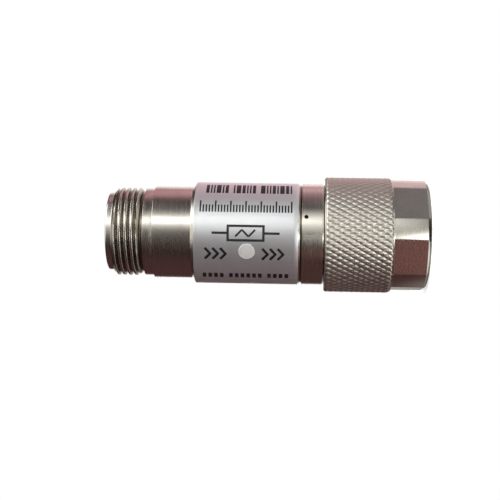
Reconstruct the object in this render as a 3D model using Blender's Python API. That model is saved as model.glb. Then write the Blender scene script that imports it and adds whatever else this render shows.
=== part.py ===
"""Coaxial RF attenuator, plug at one end and jack at the other, standing on its coupling nut.

Frame: metres, +Z up along the common axis. z = 0 is the front face of the coupling nut (the plug
end), on which the attenuator stands, and the jack points up. -Y is the side that carries the
label's print. Every turned piece is concentric with Z.
"""

import math

import bmesh
import bpy
from mathutils import Matrix, Vector

# Roundness of the turned pieces
OUTER_SIDES = 48
INNER_SIDES = 36
FINE_SIDES = 24

# Fits between pieces
SEAT_GAP = 0.00005
LABEL_GAP = 0.00003
RUNNING_GAP = 0.00010
END_PLAY = 0.00015
EDGE_BREAK = 0.00015

# Thread of both ends, 24 turns to the inch on 5/8 inch
THREAD_RADIUS = 0.00793
THREAD_PITCH = 0.001058
THREAD_DEPTH = 0.00062
THREAD_TOOTH = ((0.0, 0.0), (0.40, 1.0), (0.60, 1.0))
THREAD_ROOM = 0.00011
THREAD_ROOT = THREAD_RADIUS - THREAD_DEPTH

# Coaxial line that runs through the attenuator
LINE_RADIUS = 0.0035
CONDUCTOR_RADIUS = 0.00152
PIN_RADIUS = 0.00083
SHANK_STEP = 0.00052
BEAD_BORE_RADIUS = CONDUCTOR_RADIUS - SHANK_STEP

# Insulating beads and their retainers, the same at both ends
BEAD_SEAT = 0.0011
BEAD_LENGTH = 0.0025
BEAD_RADIUS = LINE_RADIUS + BEAD_SEAT
RETAINER_WALL = 0.0016
RETAINER_LENGTH = 0.0014
RETAINER_BORE_RADIUS = BEAD_RADIUS - RETAINER_WALL
POCKET_DEPTH = BEAD_LENGTH + RETAINER_LENGTH + 2 * SEAT_GAP
POCKET_RADIUS = BEAD_RADIUS + SEAT_GAP
SPIGOT_WALL = 0.0023
SPIGOT_RADIUS = POCKET_RADIUS + SPIGOT_WALL

# Coupling nut
NUT_LENGTH = 0.0184
NUT_WALL = 0.00195
NUT_END_CHAMFER = 0.00040
NUT_REAR_CHAMFER = 0.00040
NUT_MOUTH_DEPTH = 0.0011
NUT_MOUTH_ROOM = 0.00022
NUT_THREAD_LENGTH = 0.0052
NUT_BEARING_LENGTH = 0.0054
NUT_MOUTH_RADIUS = THREAD_RADIUS + NUT_MOUTH_ROOM
NUT_THREAD_BORE_RADIUS = THREAD_ROOT + THREAD_ROOM
NUT_BEARING_BOTTOM = NUT_LENGTH - NUT_BEARING_LENGTH
NUT_BAR_RADIUS = NUT_MOUTH_RADIUS + NUT_WALL
HEX_LENGTH = 0.0064
HEX_FLAT_DEPTH = 0.000575
HEX_SHOULDER = 0.0001
HEX_TURN_DEGREES = 7.0
HEX_ACROSS_FLATS = 2 * (NUT_BAR_RADIUS - HEX_FLAT_DEPTH)
KNURL_TEETH = 60
KNURL_HELIX_DEGREES = 30.0
KNURL_CREST = 0.00020
KNURL_DEPTH = 0.00042

# Plug body, which carries the nut
HEAD_ROOM = 0.0007
HEAD_LENGTH = 0.0066
HEAD_RADIUS = NUT_MOUTH_RADIUS - HEAD_ROOM
NUT_REAR_BORE_RADIUS = HEAD_RADIUS + RUNNING_GAP
BODY_RING_PROUD = 0.0001
BODY_RING_LENGTH = 0.0038
SEAM_WIDTH = 0.00035
SEAM_DEPTH = 0.00045
SPIGOT_LENGTH = 0.0043
PINHOLE_RADIUS = 0.00027
PINHOLE_DEPTH = 0.0009
PINHOLE_FROM_SEAM = 0.00075
PINHOLE_DEGREES = 19.5

# Retaining ring between plug body and nut
RING_FROM_REAR = 0.0028
RING_THICKNESS = 0.00055
RING_SEAT = 0.0007
RING_WIDTH = 0.00145
RING_OPENING_DEGREES = 24.0
RING_ROOM = 0.00010
RING_HEIGHT = NUT_LENGTH - RING_FROM_REAR
RING_INNER_RADIUS = HEAD_RADIUS - RING_SEAT
RING_GROOVE_LOW = RING_HEIGHT - RING_ROOM
RING_GROOVE_HIGH = RING_HEIGHT + RING_THICKNESS + RING_ROOM
RING_GROOVE_IN_BODY = RING_INNER_RADIUS - RING_ROOM
RING_GROOVE_IN_NUT = RING_INNER_RADIUS + RING_WIDTH + 2 * RING_ROOM

# Plug contacts and gasket
CONTACT_PLANE_DEPTH = 0.0016
SLEEVE_WALL = 0.0005
SLEEVE_FLANGE_STEP = 0.0010
SLEEVE_FLANGE_LENGTH = 0.0020
SLEEVE_SLOTS = 4
SLEEVE_SLOT_WIDTH = 0.00045
SLEEVE_SLOT_LENGTH = 0.0042
SLEEVE_RADIUS = LINE_RADIUS + SLEEVE_WALL
SLEEVE_FLANGE_RADIUS = SLEEVE_RADIUS + SLEEVE_FLANGE_STEP
GASKET_THICKNESS = 0.0012
GASKET_ROOM = 0.0003
GASKET_WIDTH = 0.0023
GASKET_INNER_RADIUS = SLEEVE_RADIUS + GASKET_ROOM
GASKET_OUTER_RADIUS = GASKET_INNER_RADIUS + GASKET_WIDTH
PIN_TIP_BEHIND_PLANE = 0.0004
PIN_SHOULDER_BEHIND_PLANE = 0.00535
PIN_NOSE = 0.0006

# Barrel
BARREL_WALL = 0.00195
NECK_WALL = 0.00125
LABEL_LAND_LENGTH = 0.0186
BARREL_STEP_LENGTH = 0.0005
NECK_LENGTH = 0.00685
BARREL_BORE_RADIUS = SPIGOT_RADIUS + SEAT_GAP
BARREL_RADIUS = BARREL_BORE_RADIUS + BARREL_WALL
NECK_RADIUS = BARREL_BORE_RADIUS + NECK_WALL
BODY_RING_RADIUS = BARREL_RADIUS + BODY_RING_PROUD

# Jack shell
COLLAR_STEP = 0.00008
COLLAR_LENGTH = 0.00165
UNDERCUT_DEPTH = 0.00016
UNDERCUT_LENGTH = 0.0006
THREAD_LENGTH = 0.0049
LIP_STEP = 0.00031
LIP_LENGTH = 0.00115
LIP_CHAMFER = 0.00025
JACK_BORE_ROOM = 0.00005
JACK_BORE_DEPTH = 0.0091
JACK_SPIGOT_LENGTH = 0.0072
COLLAR_RADIUS = THREAD_RADIUS - COLLAR_STEP
UNDERCUT_RADIUS = THREAD_ROOT - UNDERCUT_DEPTH
LIP_RADIUS = THREAD_ROOT - LIP_STEP
JACK_BORE_RADIUS = SLEEVE_RADIUS + JACK_BORE_ROOM

# Jack centre contact
SOCKET_PROUD = 0.00475
SOCKET_ROOM = 0.00003
SOCKET_BORE_DEPTH = 0.0042
SOCKET_SLOTS = 4
SOCKET_SLOT_WIDTH = 0.00026
SOCKET_SLOT_LENGTH = 0.0036
SOCKET_BORE_RADIUS = PIN_RADIUS + SOCKET_ROOM

# Attenuator card, its holder halves and the spring contacts
CARD_WIDTH = 0.0080
CARD_LENGTH = 0.0080
CARD_THICKNESS = 0.00064
CARD_SEAT_DEPTH = 0.0013
CAVITY_HALF_WIDTH = CARD_WIDTH / 2 - CARD_SEAT_DEPTH
CAVITY_HALF_HEIGHT = 0.0022
TAIL_RADIUS = 0.00060
TAIL_LENGTH = 0.0015
SPRING_WALL = 0.00045
SPRING_OVERLAP_CARD = 0.0009
SPRING_OVERLAP_TAIL = 0.0003

# Label and the inspection dot on it
LABEL_MARGIN = 0.00010
LABEL_THICKNESS = 0.00012
LABEL_OPENING_DEGREES = 18.0
DOT_RADIUS = 0.0014
DOT_THICKNESS = 0.00008
DOT_ABOVE_BARREL_END = 0.0092
DOT_DEGREES = -20.3

# Heights of the faces along the axis, from the plug end up
BODY_SHOULDER = NUT_LENGTH + END_PLAY
HEAD_FACE = BODY_SHOULDER - HEAD_LENGTH
SEAM_BOTTOM = BODY_SHOULDER + BODY_RING_LENGTH
BARREL_BOTTOM = SEAM_BOTTOM + SEAM_WIDTH
SPIGOT_TOP = BARREL_BOTTOM + SPIGOT_LENGTH
DOT_HEIGHT = BARREL_BOTTOM + DOT_ABOVE_BARREL_END
LAND_TOP = BARREL_BOTTOM + LABEL_LAND_LENGTH
NECK_BOTTOM = LAND_TOP + BARREL_STEP_LENGTH
BARREL_TOP = NECK_BOTTOM + NECK_LENGTH
COLLAR_BOTTOM = BARREL_TOP + SEAT_GAP
JACK_SPIGOT_BOTTOM = COLLAR_BOTTOM - JACK_SPIGOT_LENGTH
CARD_HEIGHT = (SPIGOT_TOP + JACK_SPIGOT_BOTTOM) / 2
COLLAR_TOP = COLLAR_BOTTOM + COLLAR_LENGTH
THREAD_BOTTOM = COLLAR_TOP + UNDERCUT_LENGTH
THREAD_TOP = THREAD_BOTTOM + THREAD_LENGTH
JACK_FACE = THREAD_TOP + LIP_LENGTH
JACK_PLANE = JACK_FACE - JACK_BORE_DEPTH

# Points closer than this are one point
WELD = 1e-7


def clear_scene():
    """Removes what the scene already holds."""
    for old in list(bpy.data.objects):
        bpy.data.objects.remove(old)


def material(name, colour, roughness, metallic):
    """A plain finish, shared by the pieces made of the same stock."""
    made = bpy.data.materials.new(name)
    made.use_nodes = True
    shader = made.node_tree.nodes["Principled BSDF"]
    shader.inputs["Base Color"].default_value = (*colour, 1.0)
    shader.inputs["Roughness"].default_value = roughness
    shader.inputs["Metallic"].default_value = metallic
    made.diffuse_color = (*colour, 1.0)
    return made


def add_object(name, bm, finish, smooth_degrees=30.0):
    """Turns a bmesh into a named object with its finish, round faces shaded smooth."""
    bmesh.ops.recalc_face_normals(bm, faces=bm.faces)
    mesh = bpy.data.meshes.new(name)
    bm.to_mesh(mesh)
    bm.free()
    mesh.shade_smooth()
    mesh.set_sharp_from_angle(angle=math.radians(smooth_degrees))
    made = bpy.data.objects.new(name, mesh)
    bpy.context.scene.collection.objects.link(made)
    if finish is not None:
        mesh.materials.append(finish)
    return made


def turned(name, profile, finish, sides=INNER_SIDES):
    """Spins a profile of (radius, height) points round Z.

    A profile that starts and ends on the axis makes a solid piece; any other is closed on itself
    and makes a ring.
    """
    bm = bmesh.new()
    points = [bm.verts.new((radius, 0.0, height)) for radius, height in profile]
    pairs = list(zip(points, points[1:]))
    on_axis = profile[0][0] == 0.0 and profile[-1][0] == 0.0
    if not on_axis:
        pairs.append((points[-1], points[0]))
    edges = [bm.edges.new(pair) for pair in pairs]
    bmesh.ops.spin(
        bm,
        geom=points + edges,
        cent=(0.0, 0.0, 0.0),
        axis=(0.0, 0.0, 1.0),
        angle=2 * math.pi,
        steps=sides,
    )
    bmesh.ops.remove_doubles(bm, verts=bm.verts, dist=WELD)
    return add_object(name, bm, finish)


def cut(target, cutter, operation="DIFFERENCE"):
    """Applies a Boolean between two objects and removes the second."""
    modifier = target.modifiers.new(cutter.name, "BOOLEAN")
    modifier.operation = operation
    modifier.solver = "EXACT"
    modifier.object = cutter
    graph = bpy.context.evaluated_depsgraph_get()
    mesh = bpy.data.meshes.new_from_object(target.evaluated_get(graph))
    target.modifiers.clear()
    old = target.data
    target.data = mesh
    bpy.data.meshes.remove(old)
    bpy.data.objects.remove(cutter)
    target.data.name = target.name


def block(name, size, centre, turn_degrees=0.0):
    """A cutting block of full size along X, Y and Z, turned about Z after it is placed."""
    bm = bmesh.new()
    bmesh.ops.create_cube(bm, size=1.0)
    place = Matrix.Rotation(math.radians(turn_degrees), 4, "Z") @ Matrix.Translation(centre)
    bmesh.ops.transform(bm, matrix=place @ Matrix.Diagonal((*size, 1.0)), verts=bm.verts)
    return add_object(name, bm, None)


def ring_of_points(bm, radii, heights):
    """New vertices round Z at equal angles from +X, each with its own radius and height."""
    ring = []
    for point, (radius, height) in enumerate(zip(radii, heights)):
        angle = 2 * math.pi * point / len(radii)
        place = (radius * math.cos(angle), radius * math.sin(angle), height)
        ring.append(bm.verts.new(place))
    return ring


def radial_drill(name, mouth, radius, depth, sides):
    """A round cutter through a point, along the line from there to the axis."""
    bm = bmesh.new()
    bmesh.ops.create_cone(
        bm,
        cap_ends=True,
        segments=sides,
        radius1=radius,
        radius2=radius,
        depth=2 * depth,
    )
    outward = Vector((mouth.x, mouth.y, 0.0)).to_track_quat("Z", "Y").to_matrix().to_4x4()
    bmesh.ops.transform(bm, matrix=Matrix.Translation(mouth) @ outward, verts=bm.verts)
    return add_object(name, bm, None)


def slot_tube(target, slots, width, low, high, reach):
    """Saws equal slots through a tube's wall between two heights; opposite slots share one cut."""
    for index in range(slots // 2):
        size = (2 * reach, width, high - low)
        centre = Vector((0.0, 0.0, (low + high) / 2))
        turn = index * 360.0 / slots
        cut(target, block("saw", size, centre, turn))


def facing(degrees, radius, height):
    """A point at an angle from the label side (-Y), positive towards +X."""
    angle = math.radians(degrees)
    return Vector((radius * math.sin(angle), -radius * math.cos(angle), height))


def knurled_rings():
    """Rings of the nut's outer surface from its front face to its rear face, as (radii, height).

    Grooves of both hands cross at the valley points and leave a pyramid on every other point, so
    a knurled ring alternates crest and valley and the next one is shifted by one point.
    """
    points = 2 * KNURL_TEETH
    low = HEX_LENGTH + HEX_SHOULDER
    high = NUT_LENGTH - NUT_REAR_CHAMFER
    half_tooth = math.pi * NUT_BAR_RADIUS / KNURL_TEETH
    rows = round((high - low) * math.tan(math.radians(KNURL_HELIX_DEGREES)) / half_tooth)
    crest = NUT_BAR_RADIUS + KNURL_CREST
    valley = crest - KNURL_DEPTH
    rings = [
        ([NUT_BAR_RADIUS - NUT_END_CHAMFER] * points, 0.0),
        ([NUT_BAR_RADIUS] * points, NUT_END_CHAMFER),
        ([NUT_BAR_RADIUS] * points, HEX_LENGTH),
    ]
    for row in range(rows + 1):
        inside = 0 < row < rows
        radii = [
            crest if inside and (point + row) % 2 == 0 else valley for point in range(points)
        ]
        rings.append((radii, low + (high - low) * row / rows))
    rings.append(([valley - NUT_REAR_CHAMFER] * points, NUT_LENGTH))
    return rings


def knurled_blank(finish):
    """The nut before it is milled and bored, each face split along the groove that crosses it."""
    points = 2 * KNURL_TEETH
    bm = bmesh.new()
    rows = [ring_of_points(bm, radii, [height] * points) for radii, height in knurled_rings()]
    for low, high in zip(rows, rows[1:]):
        for point in range(points):
            beside = (point + 1) % points
            a, b, c, d = low[point], low[beside], high[beside], high[point]
            if b.co.xy.length + d.co.xy.length <= a.co.xy.length + c.co.xy.length:
                bm.faces.new((a, b, d))
                bm.faces.new((b, c, d))
            else:
                bm.faces.new((a, b, c))
                bm.faces.new((a, c, d))
    bm.faces.new(list(reversed(rows[0])))
    bm.faces.new(rows[-1])
    return add_object("coupling_nut", bm, finish, 20.0)


def spanner_flats():
    """The six-sided frame that mills the nut's front end to a hexagon with narrow round lands."""
    corner = HEX_ACROSS_FLATS / math.sqrt(3.0)
    top = HEX_LENGTH + HEX_SHOULDER / 2
    frame = turned(
        "flats",
        [
            (corner, -HEX_LENGTH),
            (2 * corner, -HEX_LENGTH),
            (2 * corner, top),
            (corner, top),
        ],
        None,
        6,
    )
    # The frame's corners start on X, half a side away from the middle of a flat.
    frame.data.transform(Matrix.Rotation(math.radians(HEX_TURN_DEGREES - 30.0), 4, "Z"))
    return frame


def nut_bore():
    """Everything that is bored out of the nut, from the mouth to the rear, as one turned cutter."""
    past = NUT_MOUTH_DEPTH
    thread_top = NUT_MOUTH_DEPTH + NUT_THREAD_LENGTH
    mouth_bevel = NUT_MOUTH_RADIUS - NUT_THREAD_BORE_RADIUS
    return turned(
        "bore",
        [
            (0.0, NUT_LENGTH + past),
            (NUT_REAR_BORE_RADIUS + EDGE_BREAK + past, NUT_LENGTH + past),
            (NUT_REAR_BORE_RADIUS, NUT_LENGTH - EDGE_BREAK),
            (NUT_REAR_BORE_RADIUS, RING_GROOVE_HIGH),
            (RING_GROOVE_IN_NUT, RING_GROOVE_HIGH),
            (RING_GROOVE_IN_NUT, RING_GROOVE_LOW),
            (NUT_REAR_BORE_RADIUS, RING_GROOVE_LOW),
            (NUT_REAR_BORE_RADIUS, NUT_BEARING_BOTTOM),
            (NUT_MOUTH_RADIUS, NUT_BEARING_BOTTOM),
            (NUT_MOUTH_RADIUS, thread_top),
            (NUT_THREAD_BORE_RADIUS, thread_top),
            (NUT_THREAD_BORE_RADIUS, NUT_MOUTH_DEPTH + mouth_bevel),
            (NUT_MOUTH_RADIUS, NUT_MOUTH_DEPTH),
            (NUT_MOUTH_RADIUS, 0.0),
            (NUT_MOUTH_RADIUS, -past),
            (0.0, -past),
        ],
        None,
        OUTER_SIDES,
    )


def coupling_nut(finish):
    """Knurled nut with a hexagon at its mouth, free to turn on the plug body."""
    nut = knurled_blank(finish)
    cut(nut, spanner_flats())
    cut(nut, nut_bore())
    return nut


def plug_body(finish):
    """Turned body behind the plug: head inside the nut, visible ring, seam and spigot."""
    pocket = SPIGOT_TOP - POCKET_DEPTH
    flange_seat = HEAD_FACE + SLEEVE_FLANGE_LENGTH + SEAT_GAP
    flange_room = SLEEVE_FLANGE_RADIUS + SEAT_GAP
    body = turned(
        "plug_body",
        [
            (flange_room, HEAD_FACE),
            (HEAD_RADIUS - EDGE_BREAK, HEAD_FACE),
            (HEAD_RADIUS, HEAD_FACE + EDGE_BREAK),
            (HEAD_RADIUS, RING_GROOVE_LOW),
            (RING_GROOVE_IN_BODY, RING_GROOVE_LOW),
            (RING_GROOVE_IN_BODY, RING_GROOVE_HIGH),
            (HEAD_RADIUS, RING_GROOVE_HIGH),
            (HEAD_RADIUS, BODY_SHOULDER),
            (BODY_RING_RADIUS - EDGE_BREAK, BODY_SHOULDER),
            (BODY_RING_RADIUS, BODY_SHOULDER + EDGE_BREAK),
            (BODY_RING_RADIUS, SEAM_BOTTOM - EDGE_BREAK),
            (BODY_RING_RADIUS - EDGE_BREAK, SEAM_BOTTOM),
            (BODY_RING_RADIUS - SEAM_DEPTH, SEAM_BOTTOM),
            (BODY_RING_RADIUS - SEAM_DEPTH, BARREL_BOTTOM - SEAT_GAP),
            (SPIGOT_RADIUS, BARREL_BOTTOM - SEAT_GAP),
            (SPIGOT_RADIUS, SPIGOT_TOP),
            (POCKET_RADIUS, SPIGOT_TOP),
            (POCKET_RADIUS, pocket),
            (LINE_RADIUS, pocket),
            (LINE_RADIUS, flange_seat),
            (flange_room, flange_seat),
        ],
        finish,
        OUTER_SIDES,
    )
    mouth = facing(PINHOLE_DEGREES, BODY_RING_RADIUS, SEAM_BOTTOM - PINHOLE_FROM_SEAM)
    cut(body, radial_drill("pinhole", mouth, PINHOLE_RADIUS, PINHOLE_DEPTH, 12))
    return body


def retaining_ring(finish):
    """Split spring ring, half in the body's groove and half in the nut's."""
    outer = RING_INNER_RADIUS + RING_WIDTH
    ring = turned(
        "retaining_ring",
        [
            (RING_INNER_RADIUS, RING_HEIGHT),
            (outer, RING_HEIGHT),
            (outer, RING_HEIGHT + RING_THICKNESS),
            (RING_INNER_RADIUS, RING_HEIGHT + RING_THICKNESS),
        ],
        finish,
    )
    width = 2 * outer * math.sin(math.radians(RING_OPENING_DEGREES / 2))
    size = (width, 2 * RING_WIDTH, 4 * RING_THICKNESS)
    centre = Vector((0.0, RING_INNER_RADIUS + RING_WIDTH / 2, RING_HEIGHT))
    cut(ring, block("ring_opening", size, centre))
    return ring


def outer_contact(finish):
    """Slotted tube that enters a mating jack, with the flange that is pressed into the head."""
    tip_bevel = SLEEVE_WALL / 3
    flange_top = HEAD_FACE + SLEEVE_FLANGE_LENGTH
    sleeve = turned(
        "plug_outer_contact",
        [
            (LINE_RADIUS, CONTACT_PLANE_DEPTH),
            (SLEEVE_RADIUS - tip_bevel, CONTACT_PLANE_DEPTH),
            (SLEEVE_RADIUS, CONTACT_PLANE_DEPTH + tip_bevel),
            (SLEEVE_RADIUS, HEAD_FACE),
            (SLEEVE_FLANGE_RADIUS, HEAD_FACE),
            (SLEEVE_FLANGE_RADIUS, flange_top),
            (LINE_RADIUS, flange_top),
        ],
        finish,
    )
    low = CONTACT_PLANE_DEPTH - SLEEVE_WALL
    high = CONTACT_PLANE_DEPTH + SLEEVE_SLOT_LENGTH
    slot_tube(sleeve, SLEEVE_SLOTS, SLEEVE_SLOT_WIDTH, low, high, 2 * SLEEVE_RADIUS)
    return sleeve


def gasket(finish):
    """Rubber ring on the head's face, which a mating jack's lip is pressed into."""
    back = HEAD_FACE - SEAT_GAP
    front = back - GASKET_THICKNESS
    bevel = GASKET_THICKNESS / 6
    return turned(
        "gasket",
        [
            (GASKET_INNER_RADIUS, front),
            (GASKET_OUTER_RADIUS - bevel, front),
            (GASKET_OUTER_RADIUS, front + bevel),
            (GASKET_OUTER_RADIUS, back),
            (GASKET_INNER_RADIUS, back),
        ],
        finish,
    )


def bead(name, front, direction, finish):
    """Insulating bead from its line side (front) towards the card, with shallow turned recesses."""
    recess = BEAD_LENGTH / 8
    rim = (LINE_RADIUS + CONDUCTOR_RADIUS) / 2
    bore = BEAD_BORE_RADIUS + SEAT_GAP
    back = front + direction * BEAD_LENGTH
    return turned(
        name,
        [
            (bore, front),
            (rim, front),
            (rim, front + direction * recess),
            (LINE_RADIUS, front + direction * recess),
            (LINE_RADIUS, front),
            (BEAD_RADIUS, front),
            (BEAD_RADIUS, back),
            (bore, back),
        ],
        finish,
        FINE_SIDES,
    )


def bead_retainer(name, low, finish):
    """Ring pressed in behind a bead."""
    return turned(
        name,
        [
            (RETAINER_BORE_RADIUS, low),
            (BEAD_RADIUS, low),
            (BEAD_RADIUS, low + RETAINER_LENGTH),
            (RETAINER_BORE_RADIUS, low + RETAINER_LENGTH),
        ],
        finish,
        FINE_SIDES,
    )


def plug_pin(bead_front, tail_end, finish):
    """Centre pin of the plug: nose, pin, line conductor, bead shank and tail."""
    tip = CONTACT_PLANE_DEPTH + PIN_TIP_BEHIND_PLANE
    shoulder = CONTACT_PLANE_DEPTH + PIN_SHOULDER_BEHIND_PLANE
    step = bead_front - SEAT_GAP
    tail = tail_end - TAIL_LENGTH
    return turned(
        "plug_pin",
        [
            (0.0, tip),
            (PIN_RADIUS / 2, tip),
            (PIN_RADIUS, tip + PIN_NOSE),
            (PIN_RADIUS, shoulder),
            (CONDUCTOR_RADIUS - EDGE_BREAK, shoulder),
            (CONDUCTOR_RADIUS, shoulder + EDGE_BREAK),
            (CONDUCTOR_RADIUS, step),
            (BEAD_BORE_RADIUS, step),
            (BEAD_BORE_RADIUS, tail),
            (TAIL_RADIUS, tail),
            (TAIL_RADIUS, tail_end),
            (0.0, tail_end),
        ],
        finish,
        FINE_SIDES,
    )


def jack_socket(bead_front, tail_end, finish):
    """Centre contact of the jack: a slotted socket with its bead shank and tail."""
    tip = JACK_PLANE + SOCKET_PROUD
    step = bead_front + SEAT_GAP
    tail = tail_end + TAIL_LENGTH
    lead_in = (CONDUCTOR_RADIUS - SOCKET_BORE_RADIUS) / 3
    socket = turned(
        "jack_socket",
        [
            (0.0, tail_end),
            (TAIL_RADIUS, tail_end),
            (TAIL_RADIUS, tail),
            (BEAD_BORE_RADIUS, tail),
            (BEAD_BORE_RADIUS, step),
            (CONDUCTOR_RADIUS, step),
            (CONDUCTOR_RADIUS, tip - lead_in),
            (CONDUCTOR_RADIUS - lead_in, tip),
            (SOCKET_BORE_RADIUS + lead_in, tip),
            (SOCKET_BORE_RADIUS, tip - lead_in),
            (SOCKET_BORE_RADIUS, tip - SOCKET_BORE_DEPTH),
            (0.0, tip - SOCKET_BORE_DEPTH),
        ],
        finish,
        FINE_SIDES,
    )
    reach = 2 * CONDUCTOR_RADIUS
    slot_tube(
        socket, SOCKET_SLOTS, SOCKET_SLOT_WIDTH, tip - SOCKET_SLOT_LENGTH, tip + reach, reach
    )
    return socket


def thread_line(start, share):
    """Radii and heights round one line of the thread, which climbs one pitch in its turn.

    start is its height on +X and share its place in the tooth, 0 at the root and 1 at the crest.
    The crest shrinks to the root where the thread runs out, at 45 degrees at either end.
    """
    radii = []
    heights = []
    for side in range(OUTER_SIDES):
        height = start + THREAD_PITCH * side / OUTER_SIDES
        room = min(height - THREAD_BOTTOM, THREAD_TOP - height) / THREAD_DEPTH
        radii.append(THREAD_RADIUS - THREAD_DEPTH * (1.0 - max(0.0, min(share, room))))
        heights.append(max(THREAD_BOTTOM, min(THREAD_TOP, height)))
    return radii, heights


def thread_lines():
    """Every line of the thread from below its first turn to above its last."""
    turns = math.ceil(THREAD_LENGTH / THREAD_PITCH)
    lines = []
    for turn in range(-1, turns + 1):
        for along, share in THREAD_TOOTH:
            lines.append(thread_line(THREAD_BOTTOM + (turn + along) * THREAD_PITCH, share))
    return lines


def bridge(bm, low, high):
    """Closes the band between two rings of points that lie side by side."""
    for side in range(len(low)):
        beside = (side + 1) % len(low)
        bm.faces.new((low[side], low[beside], high[beside], high[side]))


def bridge_thread(bm, lines):
    """Closes the bands of the thread; past the last side a line goes on as the next turn's."""
    last = len(lines) - 1
    turn = len(THREAD_TOOTH)
    for index in range(last):
        low, high = lines[index], lines[index + 1]
        for side in range(OUTER_SIDES - 1):
            bm.faces.new((low[side], low[side + 1], high[side + 1], high[side]))
        next_low = lines[min(index + turn, last)][0]
        next_high = lines[min(index + 1 + turn, last)][0]
        if next_low is not next_high:
            bm.faces.new((low[-1], next_low, next_high, high[-1]))
        else:
            bm.faces.new((low[-1], next_low, high[-1]))


def jack_shell(finish):
    """Threaded shell of the jack: spigot, collar, undercut, thread, lip and the stepped bore."""
    pocket = JACK_SPIGOT_BOTTOM + POCKET_DEPTH
    below = [
        (SPIGOT_RADIUS, JACK_SPIGOT_BOTTOM),
        (SPIGOT_RADIUS, COLLAR_BOTTOM),
        (COLLAR_RADIUS - EDGE_BREAK, COLLAR_BOTTOM),
        (COLLAR_RADIUS, COLLAR_BOTTOM + EDGE_BREAK),
        (COLLAR_RADIUS, COLLAR_TOP - EDGE_BREAK),
        (COLLAR_RADIUS - EDGE_BREAK, COLLAR_TOP),
        (UNDERCUT_RADIUS, COLLAR_TOP),
        (UNDERCUT_RADIUS, THREAD_BOTTOM - EDGE_BREAK),
        (THREAD_ROOT, THREAD_BOTTOM),
    ]
    above = [
        (THREAD_ROOT, THREAD_TOP),
        (LIP_RADIUS, THREAD_TOP + EDGE_BREAK),
        (LIP_RADIUS, JACK_FACE - LIP_CHAMFER),
        (LIP_RADIUS - LIP_CHAMFER, JACK_FACE),
        (JACK_BORE_RADIUS + LIP_CHAMFER, JACK_FACE),
        (JACK_BORE_RADIUS, JACK_FACE - LIP_CHAMFER),
        (JACK_BORE_RADIUS, JACK_PLANE),
        (LINE_RADIUS, JACK_PLANE),
        (LINE_RADIUS, pocket),
        (POCKET_RADIUS, pocket),
        (POCKET_RADIUS, JACK_SPIGOT_BOTTOM),
    ]
    bm = bmesh.new()
    lower = [
        ring_of_points(bm, [radius] * OUTER_SIDES, [height] * OUTER_SIDES)
        for radius, height in below
    ]
    thread = [ring_of_points(bm, radii, heights) for radii, heights in thread_lines()]
    upper = [
        ring_of_points(bm, [radius] * OUTER_SIDES, [height] * OUTER_SIDES)
        for radius, height in above
    ]
    for rings in (lower, upper, [upper[-1], lower[0]]):
        for low, high in zip(rings, rings[1:]):
            bridge(bm, low, high)
    bridge_thread(bm, thread)
    bmesh.ops.remove_doubles(bm, verts=bm.verts, dist=WELD)
    bmesh.ops.dissolve_degenerate(bm, dist=WELD, edges=bm.edges)
    return add_object("jack_shell", bm, finish, 40.0)


def barrel(finish):
    """Turned tube between the two bodies: the label's land, a bevelled step and the neck."""
    return turned(
        "barrel",
        [
            (BARREL_BORE_RADIUS, BARREL_BOTTOM),
            (BARREL_RADIUS - EDGE_BREAK, BARREL_BOTTOM),
            (BARREL_RADIUS, BARREL_BOTTOM + EDGE_BREAK),
            (BARREL_RADIUS, LAND_TOP),
            (NECK_RADIUS, NECK_BOTTOM),
            (NECK_RADIUS, BARREL_TOP - EDGE_BREAK),
            (NECK_RADIUS - EDGE_BREAK, BARREL_TOP),
            (BARREL_BORE_RADIUS, BARREL_TOP),
        ],
        finish,
        OUTER_SIDES,
    )


def label(finish):
    """Foil label wrapped round the barrel's land, its two ends apart at the back."""
    inner = BARREL_RADIUS + LABEL_GAP
    outer = inner + LABEL_THICKNESS
    low = BARREL_BOTTOM + EDGE_BREAK + LABEL_MARGIN
    high = LAND_TOP - LABEL_MARGIN
    wrap = turned(
        "label",
        [(inner, low), (outer, low), (outer, high), (inner, high)],
        finish,
        OUTER_SIDES,
    )
    width = 2 * outer * math.sin(math.radians(LABEL_OPENING_DEGREES / 2))
    size = (width, outer, 2 * (high - low))
    cut(wrap, block("label_opening", size, Vector((0.0, outer, (low + high) / 2))))
    return wrap


def inspection_dot(finish):
    """Round paper dot stuck on the label, bent to its curve."""
    inner = BARREL_RADIUS + LABEL_GAP + LABEL_THICKNESS + LABEL_GAP
    outer = inner + DOT_THICKNESS
    low = DOT_HEIGHT - 2 * DOT_RADIUS
    high = DOT_HEIGHT + 2 * DOT_RADIUS
    dot = turned(
        "inspection_dot",
        [(inner, low), (outer, low), (outer, high), (inner, high)],
        finish,
        OUTER_SIDES,
    )
    middle = facing(DOT_DEGREES, outer, DOT_HEIGHT)
    cut(dot, radial_drill("dot_outline", middle, DOT_RADIUS, 2 * DOT_RADIUS, 32), "INTERSECT")
    return dot


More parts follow.
